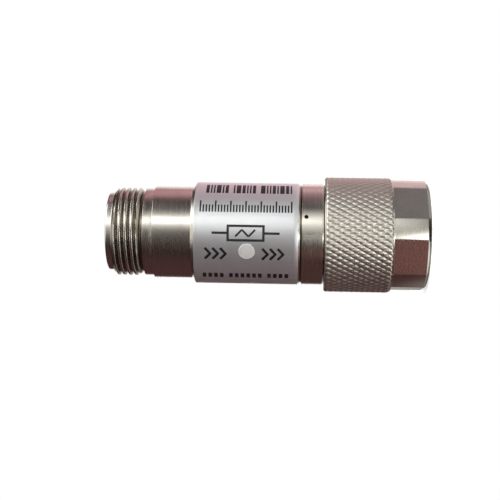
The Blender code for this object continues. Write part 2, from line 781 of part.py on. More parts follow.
def card_holder(name, side, finish):
    """Half of the split holder that clamps the card's edges; side is -1 in front and 1 behind."""
    low = SPIGOT_TOP + SEAT_GAP
    high = JACK_SPIGOT_BOTTOM - SEAT_GAP
    middle = Vector((0.0, 0.0, (low + high) / 2))
    half = turned(
        name,
        [(0.0, low), (SPIGOT_RADIUS, low), (SPIGOT_RADIUS, high), (0.0, high)],
        finish,
    )
    length = 2 * (high - low)
    split = side * (SEAT_GAP - 2 * SPIGOT_RADIUS)
    away = block("other_half", (length, 4 * SPIGOT_RADIUS, length), middle + Vector((0, split, 0)))
    cut(half, away)
    channel = (2 * CAVITY_HALF_WIDTH, 2 * CAVITY_HALF_HEIGHT, length)
    cut(half, block("channel", channel, middle))
    room = (
        CARD_WIDTH + 2 * SEAT_GAP,
        CARD_THICKNESS + 2 * SEAT_GAP,
        CARD_LENGTH + 2 * SEAT_GAP,
    )
    cut(half, block("card_seat", room, Vector((0.0, 0.0, CARD_HEIGHT))))
    return half


def attenuator_card(finish):
    """Ceramic card with the resistive film, its edges in the holder."""
    size = (CARD_WIDTH, CARD_THICKNESS, CARD_LENGTH)
    card = block("attenuator_card", size, Vector((0.0, 0.0, CARD_HEIGHT)))
    card.data.materials.append(finish)
    return card


def card_contact(name, direction, finish):
    """Spring tube that joins a conductor's tail to the card; direction 1 faces up to the card."""
    edge = CARD_HEIGHT - direction * CARD_LENGTH / 2
    tail_end = edge - direction * SPRING_OVERLAP_TAIL
    base = tail_end - direction * (TAIL_LENGTH - SEAT_GAP)
    tip = edge + direction * SPRING_OVERLAP_CARD
    bore = TAIL_RADIUS + SEAT_GAP
    outer = bore + SPRING_WALL
    tube = turned(
        name,
        [(bore, base), (outer, base), (outer, tip), (bore, tip)],
        finish,
        FINE_SIDES,
    )
    width = CARD_THICKNESS + 2 * SEAT_GAP
    slot_end = edge - direction * SEAT_GAP
    length = 2 * abs(tip - slot_end)
    centre = Vector((0.0, 0.0, slot_end + direction * length / 2))
    cut(tube, block("card_slot", (4 * outer, width, length), centre))
    return tube


def build():
    """Makes every piece, from the plug end to the jack end."""
    nickel = material("nickel_plate", (0.60, 0.55, 0.50), 0.28, 1.0)
    gold = material("gold_plate", (0.83, 0.60, 0.28), 0.25, 1.0)
    spring = material("spring_steel", (0.45, 0.44, 0.43), 0.35, 1.0)
    ptfe = material("ptfe", (0.86, 0.86, 0.84), 0.55, 0.0)
    rubber = material("silicone_rubber", (0.42, 0.09, 0.06), 0.70, 0.0)
    foil = material("label_foil", (0.66, 0.68, 0.74), 0.40, 0.6)
    paper = material("grey_paper", (0.40, 0.40, 0.40), 0.80, 0.0)
    ceramic = material("alumina", (0.80, 0.79, 0.76), 0.60, 0.0)
    plug_tail = CARD_HEIGHT - CARD_LENGTH / 2 - SPRING_OVERLAP_TAIL
    jack_tail = CARD_HEIGHT + CARD_LENGTH / 2 + SPRING_OVERLAP_TAIL
    plug_bead_front = SPIGOT_TOP - POCKET_DEPTH + SEAT_GAP
    jack_bead_front = JACK_SPIGOT_BOTTOM + POCKET_DEPTH - SEAT_GAP
    coupling_nut(nickel)
    plug_body(nickel)
    retaining_ring(spring)
    outer_contact(nickel)
    gasket(rubber)
    plug_pin(plug_bead_front, plug_tail, gold)
    bead("plug_bead", plug_bead_front, 1, ptfe)
    bead_retainer("plug_bead_retainer", SPIGOT_TOP - RETAINER_LENGTH, nickel)
    barrel(nickel)
    label(foil)
    inspection_dot(paper)
    card_holder("card_holder_front", -1, nickel)
    card_holder("card_holder_rear", 1, nickel)
    attenuator_card(ceramic)
    card_contact("plug_card_contact", 1, gold)
    card_contact("jack_card_contact", -1, gold)
    bead_retainer("jack_bead_retainer", JACK_SPIGOT_BOTTOM, nickel)
    bead("jack_bead", jack_bead_front, -1, ptfe)
    jack_socket(jack_bead_front, jack_tail, gold)
    jack_shell(nickel)


clear_scene()
build()
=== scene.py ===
"""Coaxial RF attenuator in nickel plate, with its fine knurl, threads, label and contacts.

Lengths are metres and angles radians. +Z runs along the axis from the plug end, on which the part
stands, to the jack end. -Y is the printed side of the label, and angles are turned from +X to +Y.
"""

import math

import bmesh
import bpy
import numpy as np
from mathutils import Matrix, Vector


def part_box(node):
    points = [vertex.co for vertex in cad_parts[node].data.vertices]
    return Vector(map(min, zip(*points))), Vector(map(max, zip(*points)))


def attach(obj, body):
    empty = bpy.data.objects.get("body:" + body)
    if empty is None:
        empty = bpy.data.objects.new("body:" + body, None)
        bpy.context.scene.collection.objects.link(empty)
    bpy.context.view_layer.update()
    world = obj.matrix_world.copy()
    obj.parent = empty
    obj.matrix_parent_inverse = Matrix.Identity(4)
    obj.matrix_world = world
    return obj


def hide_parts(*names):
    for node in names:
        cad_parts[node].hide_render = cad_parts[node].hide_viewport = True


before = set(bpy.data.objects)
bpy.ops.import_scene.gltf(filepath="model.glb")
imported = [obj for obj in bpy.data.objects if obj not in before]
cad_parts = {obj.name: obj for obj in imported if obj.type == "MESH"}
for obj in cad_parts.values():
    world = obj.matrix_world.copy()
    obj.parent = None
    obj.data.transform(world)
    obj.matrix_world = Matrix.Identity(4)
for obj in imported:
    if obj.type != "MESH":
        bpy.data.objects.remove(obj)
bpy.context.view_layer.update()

bl_info = {
    "name": "Coaxial RF attenuator",
    "version": (1, 0, 0),
    "blender": (4, 5, 0),
    "location": "3D View > Sidebar > Attenuator",
    "description": "Builds the fine surfaces, finishes and studio of a coaxial attenuator",
    "category": "Object",
}

BODY = "attenuator_body"
NUT = "nut"
TURN = 2 * math.pi
LABEL_SIDE = -math.pi / 2
MM = 0.001


def low_z(node):
    """Height of a node's lowest point."""
    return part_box(node)[0][2]


def high_z(node):
    """Height of a node's highest point."""
    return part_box(node)[1][2]


def radius_of(node):
    """Largest radius of a turned node, which has a corner on +X."""
    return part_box(node)[1][0]


# Heights and radii read from the frame
NUT_REAR = high_z("coupling_nut")
HEAD_FACE = low_z("plug_body")
SPIGOT_TOP = high_z("plug_body")
BARREL_BOTTOM = low_z("barrel")
BARREL_TOP = high_z("barrel")
JACK_SPIGOT_BOTTOM = low_z("jack_shell")
JACK_FACE = high_z("jack_shell")
CREST_RADIUS = radius_of("coupling_nut")
RING_RADIUS = radius_of("plug_body")
BARREL_RADIUS = radius_of("barrel")
LABEL_RADIUS = radius_of("label")

# Places along the outside of the metal, as in the solids
HEX_SHOULDER = 0.10 * MM
NUT_BAR_RADIUS = 10.10 * MM
NUT_FACE_RADIUS = 9.10 * MM
NUT_FACE_CHAMFER = 0.60 * MM
NUT_REAR_BORE_RADIUS = 7.55 * MM
NUT_REAR_CHAMFER = 0.40 * MM
NUT_MOUTH_DEPTH = 1.10 * MM
NUT_MOUTH_RADIUS = 8.15 * MM
NUT_THREAD_TOP = 6.30 * MM
NUT_THREAD_BORE = 7.42 * MM
NUT_BEARING_BOTTOM = 13.0 * MM
RING_GROOVE = (15.50 * MM, 16.25 * MM)
RING_GROOVE_IN_NUT = 8.40 * MM
RING_GROOVE_IN_BODY = 6.65 * MM
HEAD_RADIUS = 7.45 * MM
BODY_SHOULDER = 18.55 * MM
SEAM_BOTTOM = 22.35 * MM
SEAM_RADIUS = 8.75 * MM
SPIGOT_RADIUS = 6.95 * MM
POCKET_RADIUS = 4.65 * MM
POCKET_DEPTH = 4.0 * MM
LINE_RADIUS = 3.5 * MM
FLANGE_RADIUS = 5.05 * MM
FLANGE_SEAT = 14.0 * MM
BARREL_BORE_RADIUS = 7.0 * MM
LAND_TOP = 41.30 * MM
NECK_BOTTOM = 41.80 * MM
NECK_RADIUS = 8.25 * MM
COLLAR_BOTTOM = 48.70 * MM
COLLAR_RADIUS = 7.85 * MM
COLLAR_TOP = 50.35 * MM
UNDERCUT_RADIUS = 7.15 * MM
THREAD_BOTTOM = 50.95 * MM
THREAD_TOP = 55.85 * MM
LIP_RADIUS = 7.0 * MM
JACK_BORE_RADIUS = 4.05 * MM
JACK_PLANE = 47.9 * MM

# Places along the contacts and their beads, as in the solids
PIN_RADIUS = 0.83 * MM
CONDUCTOR_RADIUS = 1.52 * MM
CONDUCTOR_NECK = 1.0 * MM
CARD_STUB = 0.6 * MM
CARD_STUB_LENGTH = 1.5 * MM
PIN_NECK_START = 23.0 * MM
SOCKET_NECK_END = 45.5 * MM
BEAD_BORE_RADIUS = 1.05 * MM
BEAD_RADIUS = 4.6 * MM
SLOTS = 4

# Roundings, the distance at which points are welded, and the studio's sizes
CORNER = 0.10 * MM
WELD = 1e-7
STUDIO_RADIUS = 0.60
FLOOR_RADIUS = 26 * MM

# Studio cloth: its tint and radiance all over, then its glows, each with a tint, a direction and
# a height in degrees, the angles from there at which it starts and is full, and its radiance
TENT_BASE = ("#EFB8AE", 0.045)
TENT_GLOWS = (
    ("#FFFFFC", 29.0, 2.0, 30.0, 9.0, 0.88),
    ("#FFFFFC", 20.0, 0.0, 70.0, 15.0, 0.04),
    ("#FFFFFC", -7.0, -11.0, 8.5, 5.0, 3.00),
    ("#FFFFFC", -9.0, -29.0, 18.0, 11.0, 4.20),
    ("#FFFFFC", -50.0, -52.0, 32.0, 16.0, 1.20),
    ("#FFFFFC", 20.0, 57.0, 40.0, 24.0, 0.95),
    ("#F4F6FF", 76.0, -14.0, 20.0, 8.0, 0.22),
    ("#E4938C", -46.0, -14.0, 18.0, 6.0, 0.32),
    ("#F2B9C6", 106.0, 0.0, 28.0, 8.0, 0.30),
    ("#F2B9C6", 134.0, 0.0, 24.0, 8.0, 0.55),
    ("#F2B9C6", 114.0, 16.0, 18.0, 6.0, 0.45),
    ("#E08A98", -110.0, 0.0, 60.0, 25.0, 0.06),
    ("#FFFDFA", 176.0, 4.0, 34.0, 18.0, 0.62),
    ("#FFFDFA", 118.0, -34.0, 42.0, 22.0, 0.46),
    ("#FFFDFA", -126.0, -40.0, 38.0, 16.0, 0.30),
    ("#FFFFFF", 0.0, 90.0, 20.0, 6.0, 0.75),
)


def colour(code):
    """Linear red, green and blue of an sRGB hex code."""
    srgb = np.array([int(code[place : place + 2], 16) for place in (1, 3, 5)]) / 255
    linear = np.where(srgb <= 0.04045, srgb / 12.92, ((srgb + 0.055) / 1.055) ** 2.4)
    return tuple(linear.tolist())


def length_property(name, description, default):
    """A length in metres that a user may change."""
    return bpy.props.FloatProperty(
        name=name,
        description=description,
        default=default,
        min=0.0,
        subtype="DISTANCE",
        unit="LENGTH",
        precision=5,
    )


def colour_property(name, description, code):
    """A colour that a user may change, given by its sRGB hex code."""
    return bpy.props.FloatVectorProperty(
        name=name,
        description=description,
        default=colour(code),
        min=0.0,
        max=1.0,
        size=3,
        subtype="COLOR",
    )


class KnurlSizes(bpy.types.PropertyGroup):
    """Sizes of the coupling nut's grip."""

    teeth: bpy.props.IntProperty(
        name="Teeth",
        description="Diamonds of the knurl round the nut",
        default=60,
        min=12,
    )
    rows: bpy.props.FloatProperty(
        name="Rows",
        description="Diamonds of the knurl along the nut",
        default=6.25,
        min=1.0,
    )
    depth: length_property("Depth", "From the knurl's points to its grooves", 0.14 * MM)
    flat_across: length_property("Across flats", "Spanner size of the hexagon", 19.05 * MM)
    flat_length: length_property("Hexagon length", "How far the flats reach", 6.4 * MM)
    flat_turn: bpy.props.FloatProperty(
        name="Hexagon turn",
        description="Direction of the middle of a flat, from +X",
        default=math.radians(7.0),
        subtype="ANGLE",
        unit="ROTATION",
    )


class ThreadSizes(bpy.types.PropertyGroup):
    """Sizes of the 5/8-24 thread, outside on the jack and inside the nut."""

    radius: length_property("Radius", "Over the crests of the jack's thread", 7.93 * MM)
    pitch: length_property("Pitch", "Rise of the thread in one turn", 1.058 * MM)
    depth: length_property("Depth", "From crest to root", 0.55 * MM)


class LabelSizes(bpy.types.PropertyGroup):
    """Sizes of the label and of what is on it."""

    thickness: length_property("Thickness", "Foil and glue together", 0.12 * MM)
    opening: bpy.props.FloatProperty(
        name="Opening",
        description="Angle left bare between the label's ends, at the back",
        default=math.radians(18.0),
        subtype="ANGLE",
        unit="ROTATION",
    )
    ink_height: length_property("Ink", "How far the print stands out of the foil", 0.012 * MM)
    dot_radius: length_property("Dot radius", "Half the size of the round sticker", 1.4 * MM)
    dot_height: length_property("Dot height", "Height of the middle of the sticker", 31.9 * MM)
    dot_turn: bpy.props.FloatProperty(
        name="Dot turn",
        description="Direction of the sticker from the middle of the print",
        default=math.radians(-20.3),
        subtype="ANGLE",
        unit="ROTATION",
    )


class FinishColours(bpy.types.PropertyGroup):
    """Colours of the finishes."""

    nickel: colour_property("Nickel", "Plated and turned metal", "#D0CDC4")
    # Dull brown of the plate: real tarnished patches, and also the painted shade that darkens its
    # hollows
    tarnish_and_shade: colour_property("Tarnish", "Where the plate has dulled", "#70685A")
    gold: colour_property("Gold", "Plate of the centre contacts", "#E3B75F")
    foil: colour_property("Foil", "Face of the label", "#EEF2F6")
    ink: colour_property("Ink", "Print on the label", "#14161B")
    paper: colour_property("Sticker", "Face of the round sticker", "#CFCFCF")
    paper_rim: colour_property("Sticker edge", "Cut edge of the round sticker", "#EFEFED")
    ptfe: colour_property("Bead", "Insulating beads", "#EFEEE9")
    rubber: colour_property("Gasket", "Silicone rubber gasket", "#8E3B2C")
    ceramic: colour_property("Card", "Ceramic of the attenuator card", "#E6E2D8")
    floor: colour_property("Floor", "Studio floor", "#F6F5F3")


# Outlines and grids


def softened(corners, radius=CORNER, steps=4):
    """A closed outline with its corners rounded off, as points (radius, height).

    Corner C gives way to the curve (1-t)^2 A + 2t(1-t) C + t^2 B, where A and B lie on its two
    sides at the rounding's size from C, or at less than half of a shorter side.
    """
    corner = np.asarray(corners, dtype=float)
    before = np.roll(corner, 1, axis=0) - corner
    after = np.roll(corner, -1, axis=0) - corner
    reach = np.broadcast_to(np.asarray(radius, dtype=float), len(corner))[:, None]
    start = corner + before * np.minimum(reach / np.linalg.norm(before, axis=1)[:, None], 0.45)
    end = corner + after * np.minimum(reach / np.linalg.norm(after, axis=1)[:, None], 0.45)
    t = np.linspace(0.0, 1.0, steps)[None, :, None]
    curve = (
        (1 - t) ** 2 * start[:, None]
        + 2 * t * (1 - t) * corner[:, None]
        + t**2 * end[:, None]
    )
    return curve.reshape(-1, 2)


def refined(outline, spacing):
    """The same closed outline with points added at even steps along each side.

    A side of length L gets L / spacing(r, z) steps, rounded up, with r and z at its middle.
    """
    side = np.roll(outline, -1, axis=0) - outline
    middle = outline + side / 2
    wanted = np.linalg.norm(side, axis=1) / spacing(middle[:, 0], middle[:, 1])
    count = np.maximum(1, np.ceil(wanted)).astype(int)
    which = np.repeat(np.arange(len(outline)), count)
    along = np.arange(len(which)) - np.repeat(np.cumsum(count) - count, count)
    return outline[which] + side[which] * (along / count[which])[:, None]


def even_angles(columns):
    """Equal angles once round the axis."""
    return TURN * np.arange(columns) / columns


def round_the_axis(outline, angles, shape=None):
    """Points of an outline carried round the axis, as arrays x, y and z over (outline, angle).

    x = r cos a, y = r sin a. shape(r, a, z), if given, returns r and z changed at each point.
    """
    r, a = np.meshgrid(outline[:, 0], angles, indexing="ij")
    z = np.repeat(outline[:, 1][:, None], len(angles), axis=1)
    if shape is not None:
        r, z = shape(r, a, z)
    return r * np.cos(a), r * np.sin(a), z


def grid_faces(rows, columns, wrap_rows, wrap_columns):
    """Corner numbers of the quads between neighbouring points of a grid, joined where it wraps."""
    row = np.arange(rows if wrap_rows else rows - 1)
    column = np.arange(columns if wrap_columns else columns - 1)
    row, column = np.meshgrid(row, column, indexing="ij")
    up = (row + 1) % rows
    across = (column + 1) % columns
    corners = (
        row * columns + column,
        row * columns + across,
        up * columns + across,
        up * columns + column,
    )
    return np.stack(corners, axis=-1).reshape(-1, 4)


def add_piece(name, points, faces, finish, body, sharp=32.0):
    """A new object from arrays of points and faces: welded, smooth, and riding on a body."""
    mesh = bpy.data.meshes.new(name)
    mesh.from_pydata(points, [], faces)
    welding = bmesh.new()
    welding.from_mesh(mesh)
    bmesh.ops.remove_doubles(welding, verts=welding.verts, dist=WELD)
    welding.to_mesh(mesh)
    welding.free()
    mesh.shade_smooth()
    mesh.set_sharp_from_angle(angle=math.radians(sharp))
    mesh.materials.append(finish)
    piece = bpy.data.objects.new(name, mesh)
    bpy.context.scene.collection.objects.link(piece)
    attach(piece, body)
    return piece


def add_grid(name, grid, finish, body, wrap_rows=True, wrap_columns=True, sharp=32.0):
    """A piece from arrays x, y and z over a grid."""
    rows, columns = grid[0].shape
    points = np.stack([axis.reshape(-1) for axis in grid], axis=-1)
    faces = grid_faces(rows, columns, wrap_rows, wrap_columns)
    return add_piece(name, points, faces, finish, body, sharp)


def stand_for(piece, slot, *nodes):
    """The piece is shown in place of these solids, which are hidden. The slot's name is not used.
    """
    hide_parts(*nodes)


def ridge(phase):
    """A wave of straight slopes that is 1 at whole numbers and 0 half way between them."""
    return np.abs(1.0 - 2.0 * (phase - np.floor(phase)))


def smooth_step(value, low, high):
    """0 below low, 1 above high, and 3t^2 - 2t^3 between them."""
    t = np.clip((value - low) / (high - low), 0.0, 1.0)
    return t * t * (3.0 - 2.0 * t)


def soft_least(a, b, width):
    """The smaller of two values, with the corner between them rounded over a width."""
    t = np.clip(0.5 + 0.5 * (b - a) / width, 0.0, 1.0)
    return b * (1 - t) + a * t - width * t * (1 - t)


def thread_height(angle, z, start, sizes):
    """Height of the thread above its root, from 0 to 1, at an angle and a height.

    The place in the tooth is (z - start) / pitch - angle / turn. The crest is flat over three
    tenths of the pitch and the root over a tenth, with flanks between them that round off.
    """
    place = (z - start) / sizes.pitch - angle / TURN
    from_crest = np.abs(place - np.floor(place) - 0.5)
    flank = np.clip((0.45 - from_crest) / 0.30, 0.0, 1.0)
    return 0.6 * flank + 0.4 * smooth_step(flank, 0.0, 1.0)


# Finishes


def add_node(tree, kind, inputs=None, **settings):
    """A new node with its own settings, and its inputs given as values or as sockets to link."""
    made = tree.nodes.new(kind)
    for key, value in settings.items():
        setattr(made, key, value)
    for key, value in (inputs or {}).items():
        if isinstance(value, bpy.types.NodeSocket):
            tree.links.new(value, made.inputs[key])
        else:
            made.inputs[key].default_value = value
    return made


def new_finish(name):
    """An empty node material, with its tree and its surface shader."""
    made = bpy.data.materials.new(name)
    made.use_nodes = True
    return made, made.node_tree, made.node_tree.nodes["Principled BSDF"]


def rgba(value):
    """A colour with full alpha."""
    return (*value, 1.0)


def darkened(value, share):
    """A colour at a share of its brightness."""
    return tuple(share * channel for channel in value)


def turned_marks(tree, spacing, sweep):
    """Noise drawn out into rings round the axis, as a tool's feed leaves them.

    spacing is the width of a ring and sweep how far it runs before it changes, in metres. A fine
    cut on a lathe leaves rings of 0.03 to 0.08 mm.
    """
    place = add_node(tree, "ShaderNodeTexCoord").outputs["Object"]
    flat = add_node(
        tree, "ShaderNodeVectorMath", {0: place, 1: (1.0, 1.0, 0.0)}, operation="MULTIPLY"
    ).outputs[0]
    radius = add_node(tree, "ShaderNodeVectorMath", {0: flat}, operation="LENGTH").outputs["Value"]
    split = add_node(tree, "ShaderNodeSeparateXYZ", {0: place})
    along = add_node(tree, "ShaderNodeMath", {0: radius, 1: split.outputs["Z"]}, operation="ADD")
    fine = add_node(
        tree, "ShaderNodeMath", {0: along.outputs[0], 1: sweep / spacing}, operation="MULTIPLY"
    )
    drawn = add_node(
        tree,
        "ShaderNodeCombineXYZ",
        {"X": split.outputs["X"], "Y": split.outputs["Y"], "Z": fine.outputs[0]},
    ).outputs[0]
    noise = add_node(
        tree,
        "ShaderNodeTexNoise",
        {"Vector": drawn, "Scale": 1.0 / sweep, "Detail": 3.0, "Roughness": 0.55},
    )
    return noise.outputs["Fac"], radius, split.outputs["Z"], place


def nickel_plate(name, look, mark_width, roughness, hollow_shade=None):
    """Bright nickel plate over turned brass: warm grey, fine feed rings, random tarnished patches,
    and painted shade in the hollows.

    The last argument gives the radii between which the painted shade fades from the dull brown
    colour to the bright plate, how dark it is at the first, and the height up to which this holds.
    This darkening by radius stands in for the shade that falls in thread roots, knurl grooves and
    the seam.
    """
    made, tree, shader = new_finish(name)
    marks, radius, height, place = turned_marks(tree, mark_width, 9.0 * MM)
    stain = add_node(
        tree,
        "ShaderNodeTexNoise",
        {"Vector": place, "Scale": 1.0 / (4.5 * MM), "Detail": 5.0, "Roughness": 0.62},
    ).outputs["Fac"]
    patches = add_node(
        tree,
        "ShaderNodeMapRange",
        {"Value": stain, "From Min": 0.52, "From Max": 0.80, "To Min": 0.0, "To Max": 0.16},
    ).outputs[0]
    # Random tarnished patches: real stains of the plate
    dull = patches
    # Painted shade: below the given radii the plate is darkened towards the dull brown colour,
    # where shade falls in the hollows
    if hollow_shade is not None:
        depth = add_node(
            tree,
            "ShaderNodeMapRange",
            {
                "Value": radius,
                "From Min": hollow_shade[0],
                "From Max": hollow_shade[1],
                "To Min": hollow_shade[2],
                "To Max": 0.0,
            },
        ).outputs[0]
        below = add_node(
            tree, "ShaderNodeMath", {0: height, 1: hollow_shade[3]}, operation="LESS_THAN"
        ).outputs[0]
        held = add_node(
            tree, "ShaderNodeMath", {0: depth, 1: below}, operation="MULTIPLY"
        ).outputs[0]
        dull = add_node(
            tree, "ShaderNodeMath", {0: patches, 1: held}, operation="MAXIMUM"
        ).outputs[0]
    # Base colour: dull brown where the patches or the painted hollow shade are, bright nickel
    # elsewhere
    base = add_node(
        tree,
        "ShaderNodeMix",
        {"Factor": dull, "A": rgba(look.nickel), "B": rgba(look.tarnish_and_shade)},
        data_type="RGBA",
    )
    tree.links.new(base.outputs["Result"], shader.inputs["Base Color"])
    rough = add_node(
        tree,
        "ShaderNodeMapRange",
        {
            "Value": marks,
            "From Min": 0.3,
            "From Max": 0.7,
            "To Min": roughness - 0.03,
            "To Max": roughness + 0.04,
        },
    ).outputs[0]
    tree.links.new(rough, shader.inputs["Roughness"])
    bump = add_node(
        tree,
        "ShaderNodeBump",
        {"Height": marks, "Strength": 0.15, "Distance": 0.005 * MM},
    )
    tree.links.new(bump.outputs["Normal"], shader.inputs["Normal"])
    shader.inputs["Metallic"].default_value = 1.0
    return made


def gold_plate(look):
    """Thin gold over a turned contact: yellow, a little darker where it is worn."""
    made, tree, shader = new_finish("gold_plate")
    marks = turned_marks(tree, 0.04 * MM, 3.0 * MM)[0]
    shade = add_node(
        tree,
        "ShaderNodeMix",
        {
            "Factor": marks,
            "A": rgba(darkened(look.gold, 0.78)),
            "B": rgba(look.gold),
        },
        data_type="RGBA",
    )
    tree.links.new(shade.outputs["Result"], shader.inputs["Base Color"])
    bump = add_node(
        tree,
        "ShaderNodeBump",
        {"Height": marks, "Strength": 0.25, "Distance": 0.008 * MM},
    )
    tree.links.new(bump.outputs["Normal"], shader.inputs["Normal"])
    shader.inputs["Metallic"].default_value = 1.0
    shader.inputs["Roughness"].default_value = 0.24
    return made


def label_foil(look):
    """Silvered polyester film: a cool sheen, cloudy and very slightly pebbled.

    The film was drawn out along the axis. Its draw lines spread a reflection round the barrel and
    hardly along it, so its shine is wide and soft.
    """
    made, tree, shader = new_finish("silver_polyester_film")
    place = add_node(tree, "ShaderNodeTexCoord").outputs["Object"]
    grain = add_node(
        tree,
        "ShaderNodeTexNoise",
        {"Vector": place, "Scale": 1.0 / (0.35 * MM), "Detail": 4.0, "Roughness": 0.6},
    ).outputs["Fac"]
    cloud = add_node(
        tree,
        "ShaderNodeTexNoise",
        {"Vector": place, "Scale": 1.0 / (6.0 * MM), "Detail": 2.0},
    ).outputs["Fac"]
    shade = add_node(
        tree,
        "ShaderNodeMix",
        {
            "Factor": cloud,
            "A": rgba(darkened(look.foil, 0.93)),
            "B": rgba(look.foil),
        },
        data_type="RGBA",
    )
    tree.links.new(shade.outputs["Result"], shader.inputs["Base Color"])
    rough = add_node(
        tree,
        "ShaderNodeMapRange",
        {"Value": grain, "From Min": 0.3, "From Max": 0.7, "To Min": 0.28, "To Max": 0.36},
    ).outputs[0]
    tree.links.new(rough, shader.inputs["Roughness"])
    bump = add_node(
        tree,
        "ShaderNodeBump",
        {"Height": grain, "Strength": 0.2, "Distance": 0.006 * MM},
    )
    tree.links.new(bump.outputs["Normal"], shader.inputs["Normal"])
    round_axis = add_node(tree, "ShaderNodeTangent", {}, direction_type="RADIAL", axis="Z")
    tree.links.new(round_axis.outputs[0], shader.inputs["Tangent"])
    shader.inputs["Anisotropic"].default_value = 0.9
    shader.inputs["Metallic"].default_value = 0.85
    return made


def fine_grained(name, light, shade, grain_size, roughness, bump_depth):
    """A dull surface of one stuff, its colour and relief broken by a fine even grain.

    shade is the darkest part's share of the light colour's brightness.
    """
    made, tree, shader = new_finish(name)
    place = add_node(tree, "ShaderNodeTexCoord").outputs["Object"]
    grain = add_node(
        tree,
        "ShaderNodeTexNoise",
        {"Vector": place, "Scale": 1.0 / grain_size, "Detail": 4.0, "Roughness": 0.6},
    ).outputs["Fac"]
    mottled = add_node(
        tree,
        "ShaderNodeMix",
        {"Factor": grain, "A": rgba(darkened(light, shade)), "B": rgba(light)},
        data_type="RGBA",
    )
    tree.links.new(mottled.outputs["Result"], shader.inputs["Base Color"])
    bump = add_node(
        tree,
        "ShaderNodeBump",
        {"Height": grain, "Strength": 0.4, "Distance": bump_depth},
    )
    tree.links.new(bump.outputs["Normal"], shader.inputs["Normal"])
    shader.inputs["Roughness"].default_value = roughness
    return made


# Pieces


def nut_outline(knurl):
    """The nut's section: up the outside, over the rear face, and down the bore to the mouth."""
    core = CREST_RADIUS - knurl.depth - 0.05 * MM
    bore_chamfer = NUT_MOUTH_RADIUS - NUT_THREAD_BORE
    hexagon_top = knurl.flat_length
    corners = [
        (NUT_MOUTH_RADIUS, 0.0),
        (NUT_FACE_RADIUS, 0.0),
        (NUT_BAR_RADIUS, NUT_FACE_CHAMFER),
        (NUT_BAR_RADIUS, hexagon_top),
        (core, hexagon_top + HEX_SHOULDER),
        (core, NUT_REAR - NUT_REAR_CHAMFER),
        (core - NUT_REAR_CHAMFER, NUT_REAR),
        (NUT_REAR_BORE_RADIUS, NUT_REAR),
        (NUT_REAR_BORE_RADIUS, RING_GROOVE[1]),
        (RING_GROOVE_IN_NUT, RING_GROOVE[1]),
        (RING_GROOVE_IN_NUT, RING_GROOVE[0]),
        (NUT_REAR_BORE_RADIUS, RING_GROOVE[0]),
        (NUT_REAR_BORE_RADIUS, NUT_BEARING_BOTTOM),
        (NUT_MOUTH_RADIUS, NUT_BEARING_BOTTOM),
        (NUT_MOUTH_RADIUS, NUT_THREAD_TOP),
        (NUT_THREAD_BORE, NUT_THREAD_TOP),
        (NUT_THREAD_BORE, NUT_MOUTH_DEPTH + bore_chamfer),
        (NUT_MOUTH_RADIUS, NUT_MOUTH_DEPTH),
    ]
    return softened(corners, CORNER, 3)


def milled_nut(knurl, thread, finish):
    """Coupling nut with its hexagon and inner thread, without the relief of its grip.

    Over the hexagon r is the least of the bar's radius and (flats / 2) / cos(a - nearest flat).
    In the bore the thread's height is cut away.
    """

    def spacing(r, z):
        threaded = (r < NUT_THREAD_BORE + CORNER) & (z < NUT_THREAD_TOP)
        return np.where(threaded, thread.pitch / 16, 1.0)

    def shape(r, a, z):
        outside = r > NUT_MOUTH_RADIUS + CORNER
        flat = TURN / 6
        off_middle = (a - knurl.flat_turn + flat / 2) % flat - flat / 2
        milled = soft_least(r, knurl.flat_across / 2 / np.cos(off_middle), 0.03 * MM)
        r = np.where(outside & (z < knurl.flat_length + HEX_SHOULDER / 2), milled, r)
        in_thread = (r < NUT_THREAD_BORE + CORNER) & (z < NUT_THREAD_TOP)
        tooth = thread_height(a, z, NUT_MOUTH_DEPTH, thread)
        cut = r + (NUT_MOUTH_RADIUS - NUT_THREAD_BORE) * (1.0 - tooth)
        return np.where(in_thread, cut, r), z

    outline = refined(nut_outline(knurl), spacing)
    piece = add_grid(
        "milled_nut", round_the_axis(outline, even_angles(360), shape), finish, NUT, sharp=60.0
    )
    stand_for(piece, "nickel", "coupling_nut")


def knurled_grip(knurl, finish):
    """The grip's diamonds, a closed band that is sunk in the nut's core at both ends.

    With u = teeth * a / turn and v = rows * height, r = valley + depth * g(u + v) * g(u - v).
    g is 0 in a groove and rises as 1 - (1 - ridge)^3, so that each diamond is a low pillow.
    """
    valley = CREST_RADIUS - knurl.depth
    low = knurl.flat_length + HEX_SHOULDER
    high = NUT_REAR - 0.25 * NUT_REAR_CHAMFER
    steps = 12
    rows = int(round(knurl.rows * steps))
    z = np.linspace(low, high, rows + 1)
    inner = valley - 0.5 * MM
    sink = 0.45 * MM
    outline = np.stack(
        [np.r_[inner, np.full(rows + 1, valley), inner], np.r_[low, z, high]], axis=-1
    )

    def shape(r, a, z):
        u = knurl.teeth * a / TURN
        v = knurl.rows * (z - low) / (high - low)
        diamond = (1.0 - (1.0 - ridge(u + v)) ** 3) * (1.0 - (1.0 - ridge(u - v)) ** 3)
        from_end = np.minimum(z - low, high - z)
        sunk = sink * (1.0 - smooth_step(from_end, -0.15 * MM, 0.35 * MM))
        return np.where(r > inner, valley + knurl.depth * diamond - sunk, r), z

    grid = round_the_axis(outline, even_angles(steps * knurl.teeth), shape)
    piece = add_grid("knurled_grip", grid, finish, NUT, sharp=80.0)


